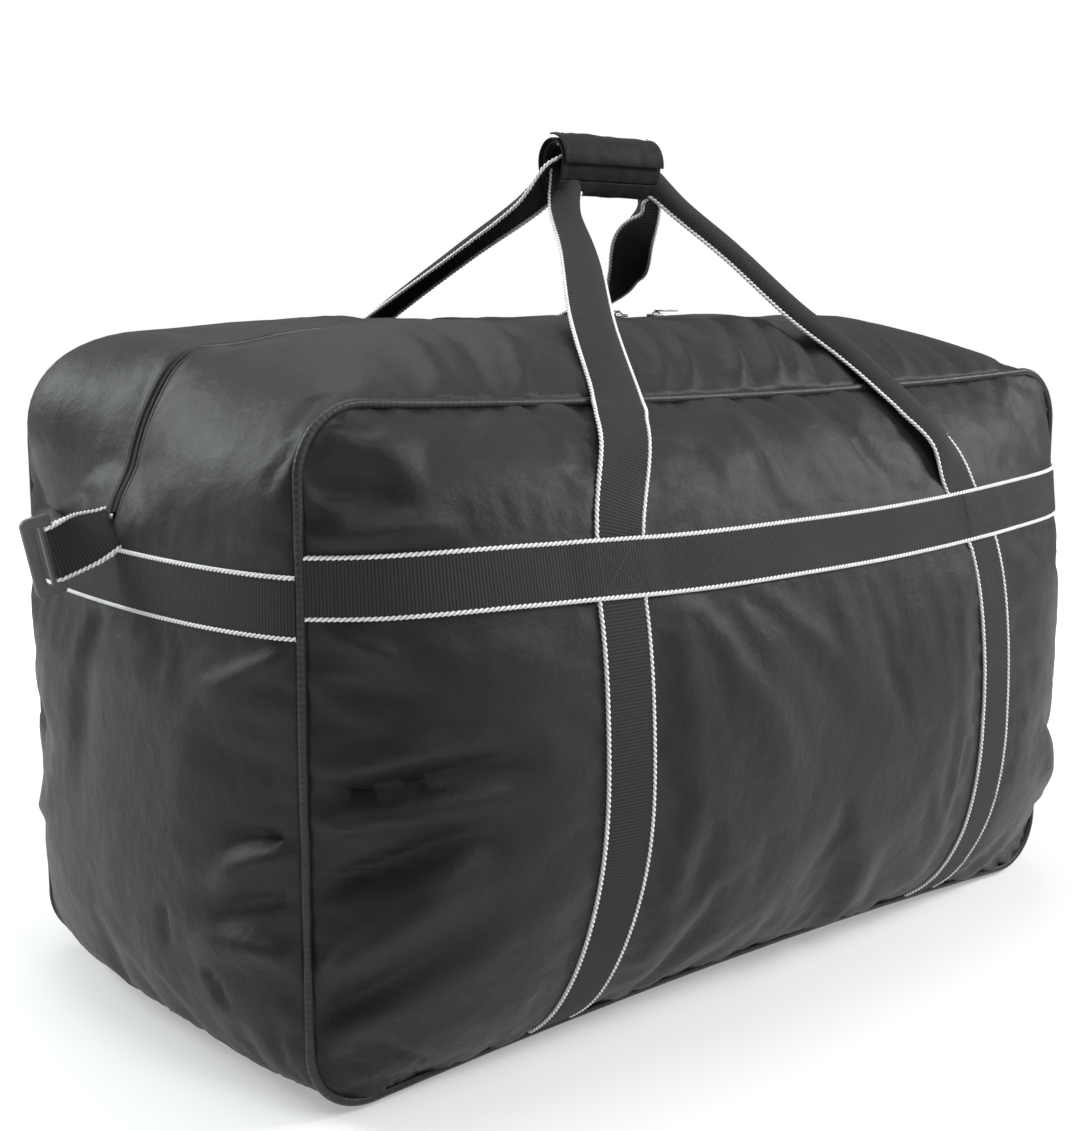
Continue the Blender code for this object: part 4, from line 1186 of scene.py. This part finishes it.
def add_end_straps():
    y = (HALF_DEPTH - 0.002) * np.sin(np.linspace(-1, 1, 121) * math.pi / 2)
    for name, place, end in (("left", on_left, -1), ("right", on_right, 1)):
        low, middle, high = (on_end(place(END_STRAP_HEIGHT + step), y)
                             for step in (-HINT_STEP, 0, HINT_STEP))
        rows = np.column_stack([middle, unit(high - low), np.zeros(len(y))])
        webbing(f"{name}_end_strap", rows, -end, "bag", [f"{name}_end_strap"])


# The front right riser is sewn a little askew: heights, and the sideways shift at each.
RISER_SWAY_AT = (0.02, 0.10, 0.17, 0.22, 0.27, 0.31, 0.36, 0.40, 0.43)
RISER_SWAY = (0.024, 0.020, 0.008, 0.001, -0.002, -0.006, -0.010, -0.015, -0.017)
# Free stretches of the handles, from above the waist strap to inside the grip: x, y, z, across
# hint and the bend of the cross-section. The back right one is slack and lies on the top first.
HANDLE_ROUTES = {
    "front_left": (
        (-0.1965, -0.2790, 0.4985, 1.00, -0.05, 0.05, 0.10),
        (-0.1800, -0.2560, 0.5250, 1.00, -0.10, 0.05, 0.25),
        (-0.1625, -0.2310, 0.5435, 1.00, -0.15, 0.00, 0.60),
        (-0.1270, -0.1650, 0.6010, 0.95, -0.20, -0.05, 1.20),
        (-0.0820, -0.1000, 0.6600, 0.88, -0.30, -0.15, 2.00),
        (-0.0570, -0.0530, 0.7020, 0.66, -0.50, -0.45, 2.90),
        (-0.0440, -0.0400, 0.7300, 0.25, -0.40, -0.80, 2.80),
        (-0.0300, -0.0385, 0.7370, 0.10, -0.35, -0.93, 2.00),
    ),
    "front_right": (
        (0.1900, -0.2930, 0.4920, 0.84, 0.42, 0.30, 1.30),
        (0.1780, -0.2650, 0.5230, 0.82, 0.46, 0.28, 1.70),
        (0.1740, -0.2360, 0.5460, 0.84, 0.44, 0.24, 2.00),
        (0.1650, -0.2010, 0.5740, 0.84, 0.44, 0.26, 2.40),
        (0.1430, -0.1580, 0.6090, 0.86, 0.44, 0.20, 2.60),
        (0.1150, -0.1020, 0.6640, 0.82, 0.50, 0.24, 2.90),
        (0.0890, -0.0600, 0.7040, 0.68, 0.56, 0.38, 3.20),
        (0.0650, -0.0410, 0.7310, 0.25, 0.40, 0.80, 2.80),
        (0.0380, -0.0385, 0.7370, 0.10, 0.35, 0.93, 2.00),
    ),
    "back_left": (
        (-0.1965, 0.2790, 0.4985, 1.00, 0.05, 0.05, 0.10),
        (-0.1760, 0.2560, 0.5250, 1.00, 0.10, 0.05, 0.15),
        (-0.1565, 0.2310, 0.5435, 1.00, 0.15, 0.00, 0.25),
        (-0.1280, 0.1450, 0.6080, 0.90, 0.40, -0.10, 1.40),
        (-0.0970, 0.0650, 0.6640, 0.84, 0.48, -0.15, 2.20),
        (-0.0720, 0.0050, 0.7040, 0.66, 0.52, -0.40, 2.60),
        (-0.0530, -0.0200, 0.7290, 0.25, 0.40, -0.80, 1.90),
        (-0.0300, -0.0215, 0.7370, 0.10, 0.35, -0.93, 1.90),
    ),
    "back_right": (
        (0.1965, 0.2790, 0.4985, 1.00, -0.05, 0.00, 0.10),
        (0.1760, 0.2560, 0.5250, 1.00, -0.10, 0.00, 0.10),
        (0.1580, 0.2320, 0.5460, 1.00, -0.15, 0.00, 0.10),
        (0.1500, 0.1950, 0.5870, 0.98, -0.05, 0.00, 0.20),
        (0.1400, 0.1450, 0.6070, 0.98, 0.00, 0.00, 0.40),
        (0.1320, 0.1050, 0.6200, 0.96, 0.10, 0.00, 0.60),
        (0.1240, 0.0780, 0.6310, 0.90, 0.20, 0.05, 1.00),
        (0.1150, 0.0560, 0.6470, 0.86, -0.20, -0.10, 1.20),
        (0.1030, 0.0350, 0.6760, 0.80, -0.30, -0.30, 1.40),
        (0.0970, 0.0165, 0.7080, 0.60, 0.15, 0.05, 2.00),
        (0.0800, 0.0020, 0.7250, 0.40, 0.12, 0.45, 2.30),
        (0.0640, -0.0150, 0.7330, 0.20, 0.10, 0.90, 2.40),
        (0.0380, -0.0215, 0.7370, 0.10, -0.35, 0.93, 1.90),
    ),
}
HANDLE_BLEND = ("bag", "grip", (0.0, 0.0, 0.600), (0.0, 0.0, 0.712))


def add_handles():
    """Each handle is one run of webbing from the bottom seam to inside the grip."""
    for name, route in HANDLE_ROUTES.items():
        side = -1 if name.startswith("front") else 1
        end = -1 if name.endswith("left") else 1
        z = RISER_LOW - 0.010 + (RISER_LEAVE - RISER_LOW) * np.linspace(0, 1, 120) ** 1.5
        place = riser_place(z)
        if name == "front_right":
            place = place + np.interp(z, RISER_SWAY_AT, RISER_SWAY)
        sewn = on_panel(end * place, z, side, SEWN_LIFT, (HINT_STEP, 0.0))
        free = curve_through(np.vstack([sewn[-12], sewn[-1], *np.array(route)]), 14)
        rows = np.vstack([sewn[:-12], free])
        webbing(f"{name}_handle", rows, -side, "bag",
                [f"{name}_riser", f"{name}_handle_leg"], blend=HANDLE_BLEND)


# ---- strap rings --------------------------------------------------------------------------------

RING_BAR_X, RING_HEIGHT, RING_TILT = 0.5445, 0.4185, math.radians(12)
RING_BAR_RADIUS = 0.0026
RING_TALL, RING_WIDE, RING_THICK, RING_EDGE = 0.064, 0.025, 0.0048, 0.0010
RING_SLOT_TALL, RING_SLOT_END = 0.0465, 0.0128
RING_MIDDLE = (0.0052, 0.0082)        # the bar between the two slots
LOOP_ROOT, LOOP_ROOT_SLANT = (0.5, 0.0, 0.4325), math.radians(34)
LOOP_BURIED = 0.012       # each loop starts this far inside the bag


def ring_frame(end):
    """The ring's own axes: x outward along the bag, y across its thickness, z along its bar."""
    lean = Matrix.Rotation(end * RING_TILT, 4, "Y")
    place = Matrix.Translation((end * RING_BAR_X, 0.0, RING_HEIGHT))
    return place @ lean @ Matrix.Scale(-1 if end < 0 else 1, 4, (1, 0, 0))


def cut_corners(low_x, high_x, half, cuts):
    """A rectangle's outline with its corners rounded by the four cut sizes."""
    corners = ((low_x, -half, 1, 1), (high_x, -half, -1, 1), (high_x, half, -1, -1),
               (low_x, half, 1, -1))
    outline = []
    for number, ((x, z, sx, sz), cut) in enumerate(zip(corners, cuts)):
        start = 180 + 90 * number
        outline += arc((x + sx * cut, z + sz * cut), (cut, cut), start, start + 90, 5)
    return outline


def plate(loops, thickness, edge):
    """A flat piece with rounded edges: an outline and its holes, at z = 0."""
    curve = bpy.data.curves.new("plate", "CURVE")
    curve.dimensions = "2D"
    curve.fill_mode = "BOTH"
    curve.extrude = thickness / 2 - edge
    curve.bevel_depth = edge
    curve.bevel_resolution = 2
    for loop in loops:
        spline = curve.splines.new("POLY")
        spline.points.add(len(loop) - 1)
        for point, (u, v) in zip(spline.points, loop):
            point.co = (u, v, 0.0, 1.0)
        spline.use_cyclic_u = True
    shape = in_scene("plate", curve)
    bpy.context.view_layer.update()
    made = shape.evaluated_get(bpy.context.evaluated_depsgraph_get())
    mesh = bpy.data.meshes.new_from_object(made)
    bpy.data.objects.remove(shape)
    mesh.materials.clear()
    return mesh


def add_plate(name, loops, thickness, edge, place, material, body, node):
    """A plate moved into place, with clean outward normals, riding on its body."""
    mesh = plate(loops, thickness, edge)
    face_outward(mesh, place)
    obj = add_piece(name, mesh, material, body, smooth_angle=35.0)
    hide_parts(node)


def add_rings():
    """Moulded ladder rings: the strap loops round the inner bar, beside one free slot."""
    outer = cut_corners(-RING_BAR_RADIUS + RING_EDGE, RING_WIDE - RING_BAR_RADIUS - RING_EDGE,
                        RING_TALL / 2 - RING_EDGE, (0.0020, 0.0055, 0.0055, 0.0020))
    strap_slot = cut_corners(RING_BAR_RADIUS + RING_EDGE, RING_MIDDLE[0] + RING_EDGE,
                             RING_SLOT_TALL / 2 + RING_EDGE, (0.0012,) * 4)
    free_slot = cut_corners(RING_MIDDLE[1] - RING_EDGE, RING_SLOT_END + RING_EDGE,
                            RING_SLOT_TALL / 2 + RING_EDGE, (0.0016,) * 4)
    upright = Matrix.Rotation(math.radians(90), 4, "X")
    for name, end in (("left", -1), ("right", 1)):
        add_plate(f"{name}_ring_plate", [outer, strap_slot, free_slot], RING_THICK, RING_EDGE,
                  ring_frame(end) @ upright, RING_PLASTIC, f"{name}_ring",
                  f"{name}_strap_ring")


def add_ring_loops():
    """Webbing from under the end strap round each ring's bar and back, turning as it goes."""
    for name, end in (("left", -1), ("right", 1)):
        frame_at = ring_frame(end)
        bar = np.array(frame_at.translation)
        bar_axis = np.array((frame_at.to_3x3() @ Vector((0, 0, 1))).normalized())
        root = np.array(LOOP_ROOT) * (end, 1, 1)
        root_axis = np.array([0.0, math.cos(LOOP_ROOT_SLANT), math.sin(LOOP_ROOT_SLANT)])
        run = unit(bar - root)
        buried = root - run * LOOP_BURIED
        reach = RING_BAR_RADIUS + 0.0006 + WEBBING_THICK / 2
        rows = []
        for leg in (1, -1):
            for share in (np.linspace(0, 1, 9) if leg > 0 else np.linspace(1, 0, 9)):
                ease = smooth(share)
                centre = buried + (bar - buried) * share
                across = unit(root_axis * (1 - ease) + bar_axis * ease)
                normal = unit(np.cross(run, across))
                apart = 0.0011 + (reach - 0.0011) * share ** 1.5
                rows.append([*(centre + normal * apart * leg), *across, 0.0])
            if leg > 0:
                normal = unit(np.cross(run, bar_axis))
                for angle in np.radians(np.arange(20, 170, 20)):
                    spot = bar + reach * (normal * math.cos(angle) + run * math.sin(angle))
                    rows.append([*spot, *bar_axis, 0.0])
        rows = curve_through(np.array(rows), 4)
        webbing(f"{name}_ring_strap", rows, 1, "bag", [f"{name}_ring_loop"], width=WEBBING - 0.002)


# ---- grip ---------------------------------------------------------------------------------------

GRIP_BELLY = 0.009            # the wrap hangs this much below its oval
GRIP_HEM = 0.0085             # from the wrap's end to its row of stitches
GRIP_ENDS = (GRIP_CENTRE.x - GRIP_LENGTH / 2, GRIP_CENTRE.x + GRIP_LENGTH / 2 - 0.010)


def oval(turn, offset, x, creases=0.0):
    """A point of the grip's oval section; turn runs from the front (-Y) up over the top."""
    radians = math.radians(turn)
    half_y, half_z = GRIP_HALF[0] + offset, GRIP_HALF[1] + offset
    half_z += GRIP_BELLY * max(0.0, -math.sin(radians))
    crease = 0.0
    if creases:
        spot = (x, radians * 0.02, 0.4)
        crease = creases * (noise.noise(Vector(spot) / 0.020)
                            + 0.5 * noise.noise(Vector(spot) / 0.009))
    return (x, GRIP_CENTRE.y - (half_y + crease) * math.cos(radians),
            GRIP_CENTRE.z + (half_z + crease) * math.sin(radians))


def grip_sheet(name, start, finish, offset, thickness, material, body, node, slot,
               inset=0.0, puff=0.0, creases=0.0, hem=0.0):
    """A curved sheet of the grip: puffed between its hems, with small creases."""
    low, high = GRIP_ENDS[0] + inset, GRIP_ENDS[1] - inset
    turns = np.linspace(start, finish, max(6, round(abs(finish - start) / 4)))
    xs = eased(low, high, 0.0022, 0.5)
    points = []
    for turn in turns:
        row = []
        for x in xs:
            from_end = min(x - low, high - x)
            swell = puff * (1 - math.exp(-from_end / 0.010))
            swell -= hem * bell(from_end, GRIP_HEM, 0.0013)
            edge = min(turn - start, finish - turn)
            swell *= 1 - 0.8 * math.exp(-max(edge, 0) / 7.0)
            row.append(oval(turn, offset + swell, x, creases * min(1.0, from_end / 0.006)))
        points.append(row)
    points = np.array(points)
    u, v = np.meshgrid(np.radians(turns) * 0.02, xs, indexing="ij")
    obj = add_mesh(name, points, grid_faces(len(turns), len(xs)), material, body, slot,
                   np.stack([v, u, 0 * u], -1), smooth_angle=60.0)
    thicken(obj, thickness)
    round_edges(obj, thickness * 0.42, above_angle=60.0)
    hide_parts(node)
    return obj


def add_grip():
    """The wrap and its lining, the flap with its tapes, and the webbing held inside them."""
    wrap = grip_sheet("grip_wrap_cloth", -40, 318, -0.0004, 0.0018, GRIP_CLOTH, "grip", "grip_wrap",
                      "polyester", puff=0.0004, creases=0.0009, hem=0.0006)
    pad = grip_sheet("grip_foam_pad", 60, 300, -0.0024, 0.0022, FOAM, "grip", "grip_pad",
                     "grip_foam", inset=0.004, creases=0.0003)
    grip_sheet("grip_hook_pile", -2, 30, 0.0010, 0.0006, HOOK_LOOP, "grip", "grip_hook_tape",
               "hook_and_loop", inset=0.008)
    grip_sheet("grip_loop_pile", -2, 30, 0.0020, 0.0006, HOOK_LOOP, "grip_flap",
               "grip_loop_tape", "hook_and_loop", inset=0.008)
    flap = grip_sheet("grip_flap_cloth", -6, 94, 0.0040, 0.0017, GRIP_CLOTH, "grip_flap",
                      "grip_flap", "polyester", puff=0.0010, creases=0.0013, hem=0.0007)
    for name, side in (("front", -1), ("back", 1)):
        y = GRIP_CENTRE.y + 0.0140 * side
        rows = [[x, y, GRIP_CENTRE.z, 0.0, 0.0, -1.0, 2.6]
                for x in np.linspace(GRIP_ENDS[0] + 0.010, GRIP_ENDS[1] - 0.010, 12)]
        webbing(f"{name}_handle_core", np.array(rows), -side, "grip", [f"{name}_handle_span"])
    for name, turns, offset, body in (("flap", (-2, 82), 0.0051, "grip_flap"),
                                      ("wrap", (92, 312), 0.0001, "grip")):
        for number, x in enumerate((GRIP_ENDS[0] + GRIP_HEM, GRIP_ENDS[1] - GRIP_HEM)):
            path = np.array([oval(t, offset, x) for t in np.linspace(*turns, 40)])
            out = unit(path - np.array([x, GRIP_CENTRE.y, GRIP_CENTRE.z]))
            stitch_row(f"grip_{name}_stitches_{number + 1}", path, out, THREAD_DARK, body,
                       "polyester")


# ---- sliders and pull tabs ----------------------------------------------------------------------

SLIDER_LENGTH, SLIDER_WIDE, SLIDER_TALL = 0.016, 0.0115, 0.0030
PULL_LENGTH, PULL_THICK = 0.030, 0.0016


def slider_shape(x, floor, direction):
    """A slider's points and faces: a waisted body open below, and the bridge over it."""
    half, wall = SLIDER_WIDE / 2, 0.0014
    section = [(-half, 0.0), (-half, 0.0022), (-half + 0.0010, SLIDER_TALL),
               (half - 0.0010, SLIDER_TALL), (half, 0.0022), (half, 0.0), (half - wall, 0.0),
               (half - wall, 0.0013), (-half + wall, 0.0013), (-half + wall, 0.0)]
    rings = []
    for share in np.linspace(-0.5, 0.5, 13):
        waist = 1.0 - 0.16 * (1 - (2 * share) ** 2) ** 2
        taper = 1.0 - 0.10 * smooth((direction * share + 0.1) / 0.6)
        rings.append([(x + share * SLIDER_LENGTH, y * waist * taper, floor + z)
                      for y, z in section])
    count = len(section)
    faces = grid_faces(len(rings), count, close_columns=True)
    faces += [tuple(range(count)), tuple(range((len(rings) - 1) * count, len(rings) * count))]
    bridge = [(u, 0.0, z) for u, z in
              arc((x, floor + SLIDER_TALL - 0.0004), (0.0052, 0.0022), 180, 0, 9)]
    return joined([(rings, faces), tube(bridge, 0.0008, 8, up=(0, 1, 0))])


def add_sliders():
    """Each slider, and its pull tab."""
    for name, direction in (("left", -1), ("right", 1)):
        node = f"zipper_slider_{name}"
        low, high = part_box(node)
        x = (low.x + high.x) / 2
        slider = add_mesh(f"slider_{name}_body", *slider_shape(x, low.z, direction), METAL, node,
                          "zipper_metal", smooth_angle=35.0, closed=True)
        round_edges(slider, 0.00035)
        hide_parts(node)
        add_pull(name, x, direction)


def add_pull(name, x, direction):
    """A pull tab with a round end at its pin, a wider grip and two holes."""
    low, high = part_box(f"zipper_pull_{name}")
    level = (low.z + high.z) / 2
    outline = [*arc((PULL_LENGTH - 0.0040, 0.0), (0.0032, 0.0036), -90, 90, 9),
               (0.012, 0.0038), (0.007, 0.0030),
               *arc((0.0030, 0.0), (0.0034, 0.0030), 90, 270, 9),
               (0.007, -0.0030), (0.012, -0.0038)]
    holes = [arc((0.0030, 0.0), (0.0013, 0.0014), 0, 342, 20),
             arc((0.0205, 0.0), (0.0045, 0.0017), 0, 342, 20)]
    start = x - direction * PULL_THICK / 2
    place = Matrix.Translation((start, 0.0, level)) @ Matrix.Scale(direction, 4, (1, 0, 0))
    add_plate(f"pull_{name}_tab", [outline, *holes], PULL_THICK, 0.0004, place, METAL,
              f"zipper_pull_{name}", f"zipper_pull_{name}")


# ---- stitching on the webbing -------------------------------------------------------------------

BOX_HALF = 0.0175
END_BOX_X, END_BOX = 0.325, (0.020, 0.012)        # a plain box: its place and half its sides


def sewn_loop(name, corners, x, side, lift):
    """A run of stitches through corners measured from a point of the waist strap."""
    z = float(waist_height(np.array(x)))
    xz = spaced([(x + u, z + v, 0.0) for u, v in corners], 0.004)[0]
    rows = on_panel(xz[:, 0], xz[:, 1], side, lift + WEBBING_THICK / 2, (0.01, 0.0))
    normals = panel_normal(xz[:, 0], xz[:, 1], side)
    stitch_row(name, rows[:, :3], normals, THREAD_LIGHT, "bag", "webbing", gap=0.0008)


def add_box_stitches():
    """Crossed boxes where waist straps are sewn over risers, and a plain box at the right."""
    half, (wide, tall) = BOX_HALF, END_BOX
    box = [(-half, -half), (half, -half), (half, half), (-half, half), (-half, -half), (half, half)]
    cross = [(-half, half), (half, -half)]
    end_box = [(-wide, -tall), (wide, -tall), (wide, tall), (-wide, tall), (-wide, -tall)]
    for name, side in (("front", -1), ("back", 1)):
        for end_name, end in (("left", -1), ("right", 1)):
            askew = 0.0
            if side < 0 < end:
                askew = np.interp(STRAP_HEIGHT, RISER_SWAY_AT, RISER_SWAY)
            for number, corners in enumerate((box, cross)):
                sewn_loop(f"{name}_{end_name}_box_stitch_{number + 1}", corners,
                          end * RISER_X + askew, side, SEWN_LIFT + CROSSING_LIFT)
        sewn_loop(f"{name}_right_end_stitch", end_box, END_BOX_X, side, SEWN_LIFT)


def paint_hidden_nodes():
    """The seam bindings keep their CAD shape inside the bag and get a woven tape's finish."""
    for name in ("front_seam_binding", "back_seam_binding"):
        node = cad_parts[name]
        node.data.materials.clear()
        node.data.materials.append(BINDING_TAPE)


# ---- studio -------------------------------------------------------------------------------------

CAMERA_PLACE, CAMERA_LENS = (-1.0838, -1.2311, 0.6142), 53.12
CAMERA_DOWN, CAMERA_TURN = 9.07, -40.04       # degrees below the horizon, and round from +Y
FLOOR_REACH, FLOOR_LEVEL, FLOOR_SIDES = 3.2, -0.0005, 96
# painted light: the floor's glow rises over this distance from the bag
FLOOR_FADE = (0.9, 2.0)       # the floor turns into the bright surround over this distance
SKY_STRENGTH = 0.40
SKY_LOW, SKY_HIGH = (0.25, 0.25, 0.26), (1.0, 1.0, 1.0)
# Name, place, target, size, watts and colour of each soft light.
LIGHTS = (
    ("overhead", (-0.2, 0.3, 2.7), (0.0, 0.0, 0.4), (2.2, 1.8), 42.0, (1.0, 1.0, 1.0)),
    ("end_key", (-1.8, 1.9, 1.8), (-0.45, 0.0, 0.4), (1.2, 1.0), 62.0, (0.93, 0.985, 1.0)),
    ("front_key", (2.3, -1.9, 2.0), (0.2, -0.3, 0.45), (1.2, 1.0), 98.0, (1.0, 0.955, 1.0)),
    ("fill", (-0.5, -2.3, 2.1), (-0.1, -0.2, 0.35), (1.0, 0.8), 26.0, (0.97, 1.0, 0.99)),
)


def add_light(name, place, target, size, watts, colour):
    data = bpy.data.lights.new(name, "AREA")
    data.shape = "RECTANGLE"
    data.size, data.size_y = size
    data.energy = watts
    data.color = colour
    obj = in_scene(name, data)
    obj.location = place
    aim = Vector(target) - Vector(place)
    obj.rotation_euler = aim.to_track_quat("-Z", "Y").to_euler()


def add_camera():
    camera = bpy.data.cameras.new("camera")
    camera.sensor_fit = "VERTICAL"
    camera.sensor_height = 36.0
    camera.lens = CAMERA_LENS
    camera.clip_end = 60.0
    eye = in_scene("camera", camera)
    eye.location = CAMERA_PLACE
    eye.rotation_euler = Euler((math.radians(90 - CAMERA_DOWN), 0.0, math.radians(CAMERA_TURN)))
    bpy.context.scene.camera = eye


def add_floor():
    rim = [(x, y, FLOOR_LEVEL) for x, y in
           arc((0.0, 0.0), (FLOOR_REACH, FLOOR_REACH), 0, 360 - 360 / FLOOR_SIDES, FLOOR_SIDES)]
    mesh = new_mesh("floor", rim, [tuple(range(FLOOR_SIDES))])
    mesh.materials.append(glowing_floor_paint())
    in_scene("floor", mesh)


def add_surround():
    """White to the camera, and a soft sky, brighter overhead, to everything else."""
    world = bpy.data.worlds.new("studio")
    bpy.context.scene.world = world
    world.use_nodes = True
    nodes, links = world.node_tree.nodes, world.node_tree.links
    nodes.clear()
    seen = nodes.new("ShaderNodeLightPath")
    bright = nodes.new("ShaderNodeBackground")
    bright.inputs["Color"].default_value = (1.0, 1.0, 1.0, 1.0)
    soft = nodes.new("ShaderNodeBackground")
    soft.inputs["Strength"].default_value = SKY_STRENGTH
    place = nodes.new("ShaderNodeTexCoord")
    height = nodes.new("ShaderNodeSeparateXYZ")
    shade = nodes.new("ShaderNodeValToRGB")
    shade.color_ramp.elements[0].color = (*SKY_LOW, 1.0)
    shade.color_ramp.elements[1].color = (*SKY_HIGH, 1.0)
    mix = nodes.new("ShaderNodeMixShader")
    out = nodes.new("ShaderNodeOutputWorld")
    links.new(place.outputs["Generated"], height.inputs[0])
    links.new(height.outputs["Z"], shade.inputs["Fac"])
    links.new(shade.outputs["Color"], soft.inputs["Color"])
    links.new(seen.outputs["Is Camera Ray"], mix.inputs["Fac"])
    links.new(soft.outputs[0], mix.inputs[1])
    links.new(bright.outputs[0], mix.inputs[2])
    links.new(mix.outputs[0], out.inputs["Surface"])


def add_studio():
    """The camera, a pale floor, a bright plain surround and the soft lights."""
    add_camera()
    add_floor()
    add_surround()
    for light in LIGHTS:
        add_light(*light)
    bpy.context.scene.view_settings.view_transform = "Standard"


add_studio()
add_shell()
add_piping()
add_zipper()
add_waist_straps()
add_end_straps()
add_handles()
add_rings()
add_ring_loops()
add_grip()
add_sliders()
add_box_stitches()
paint_hidden_nodes()
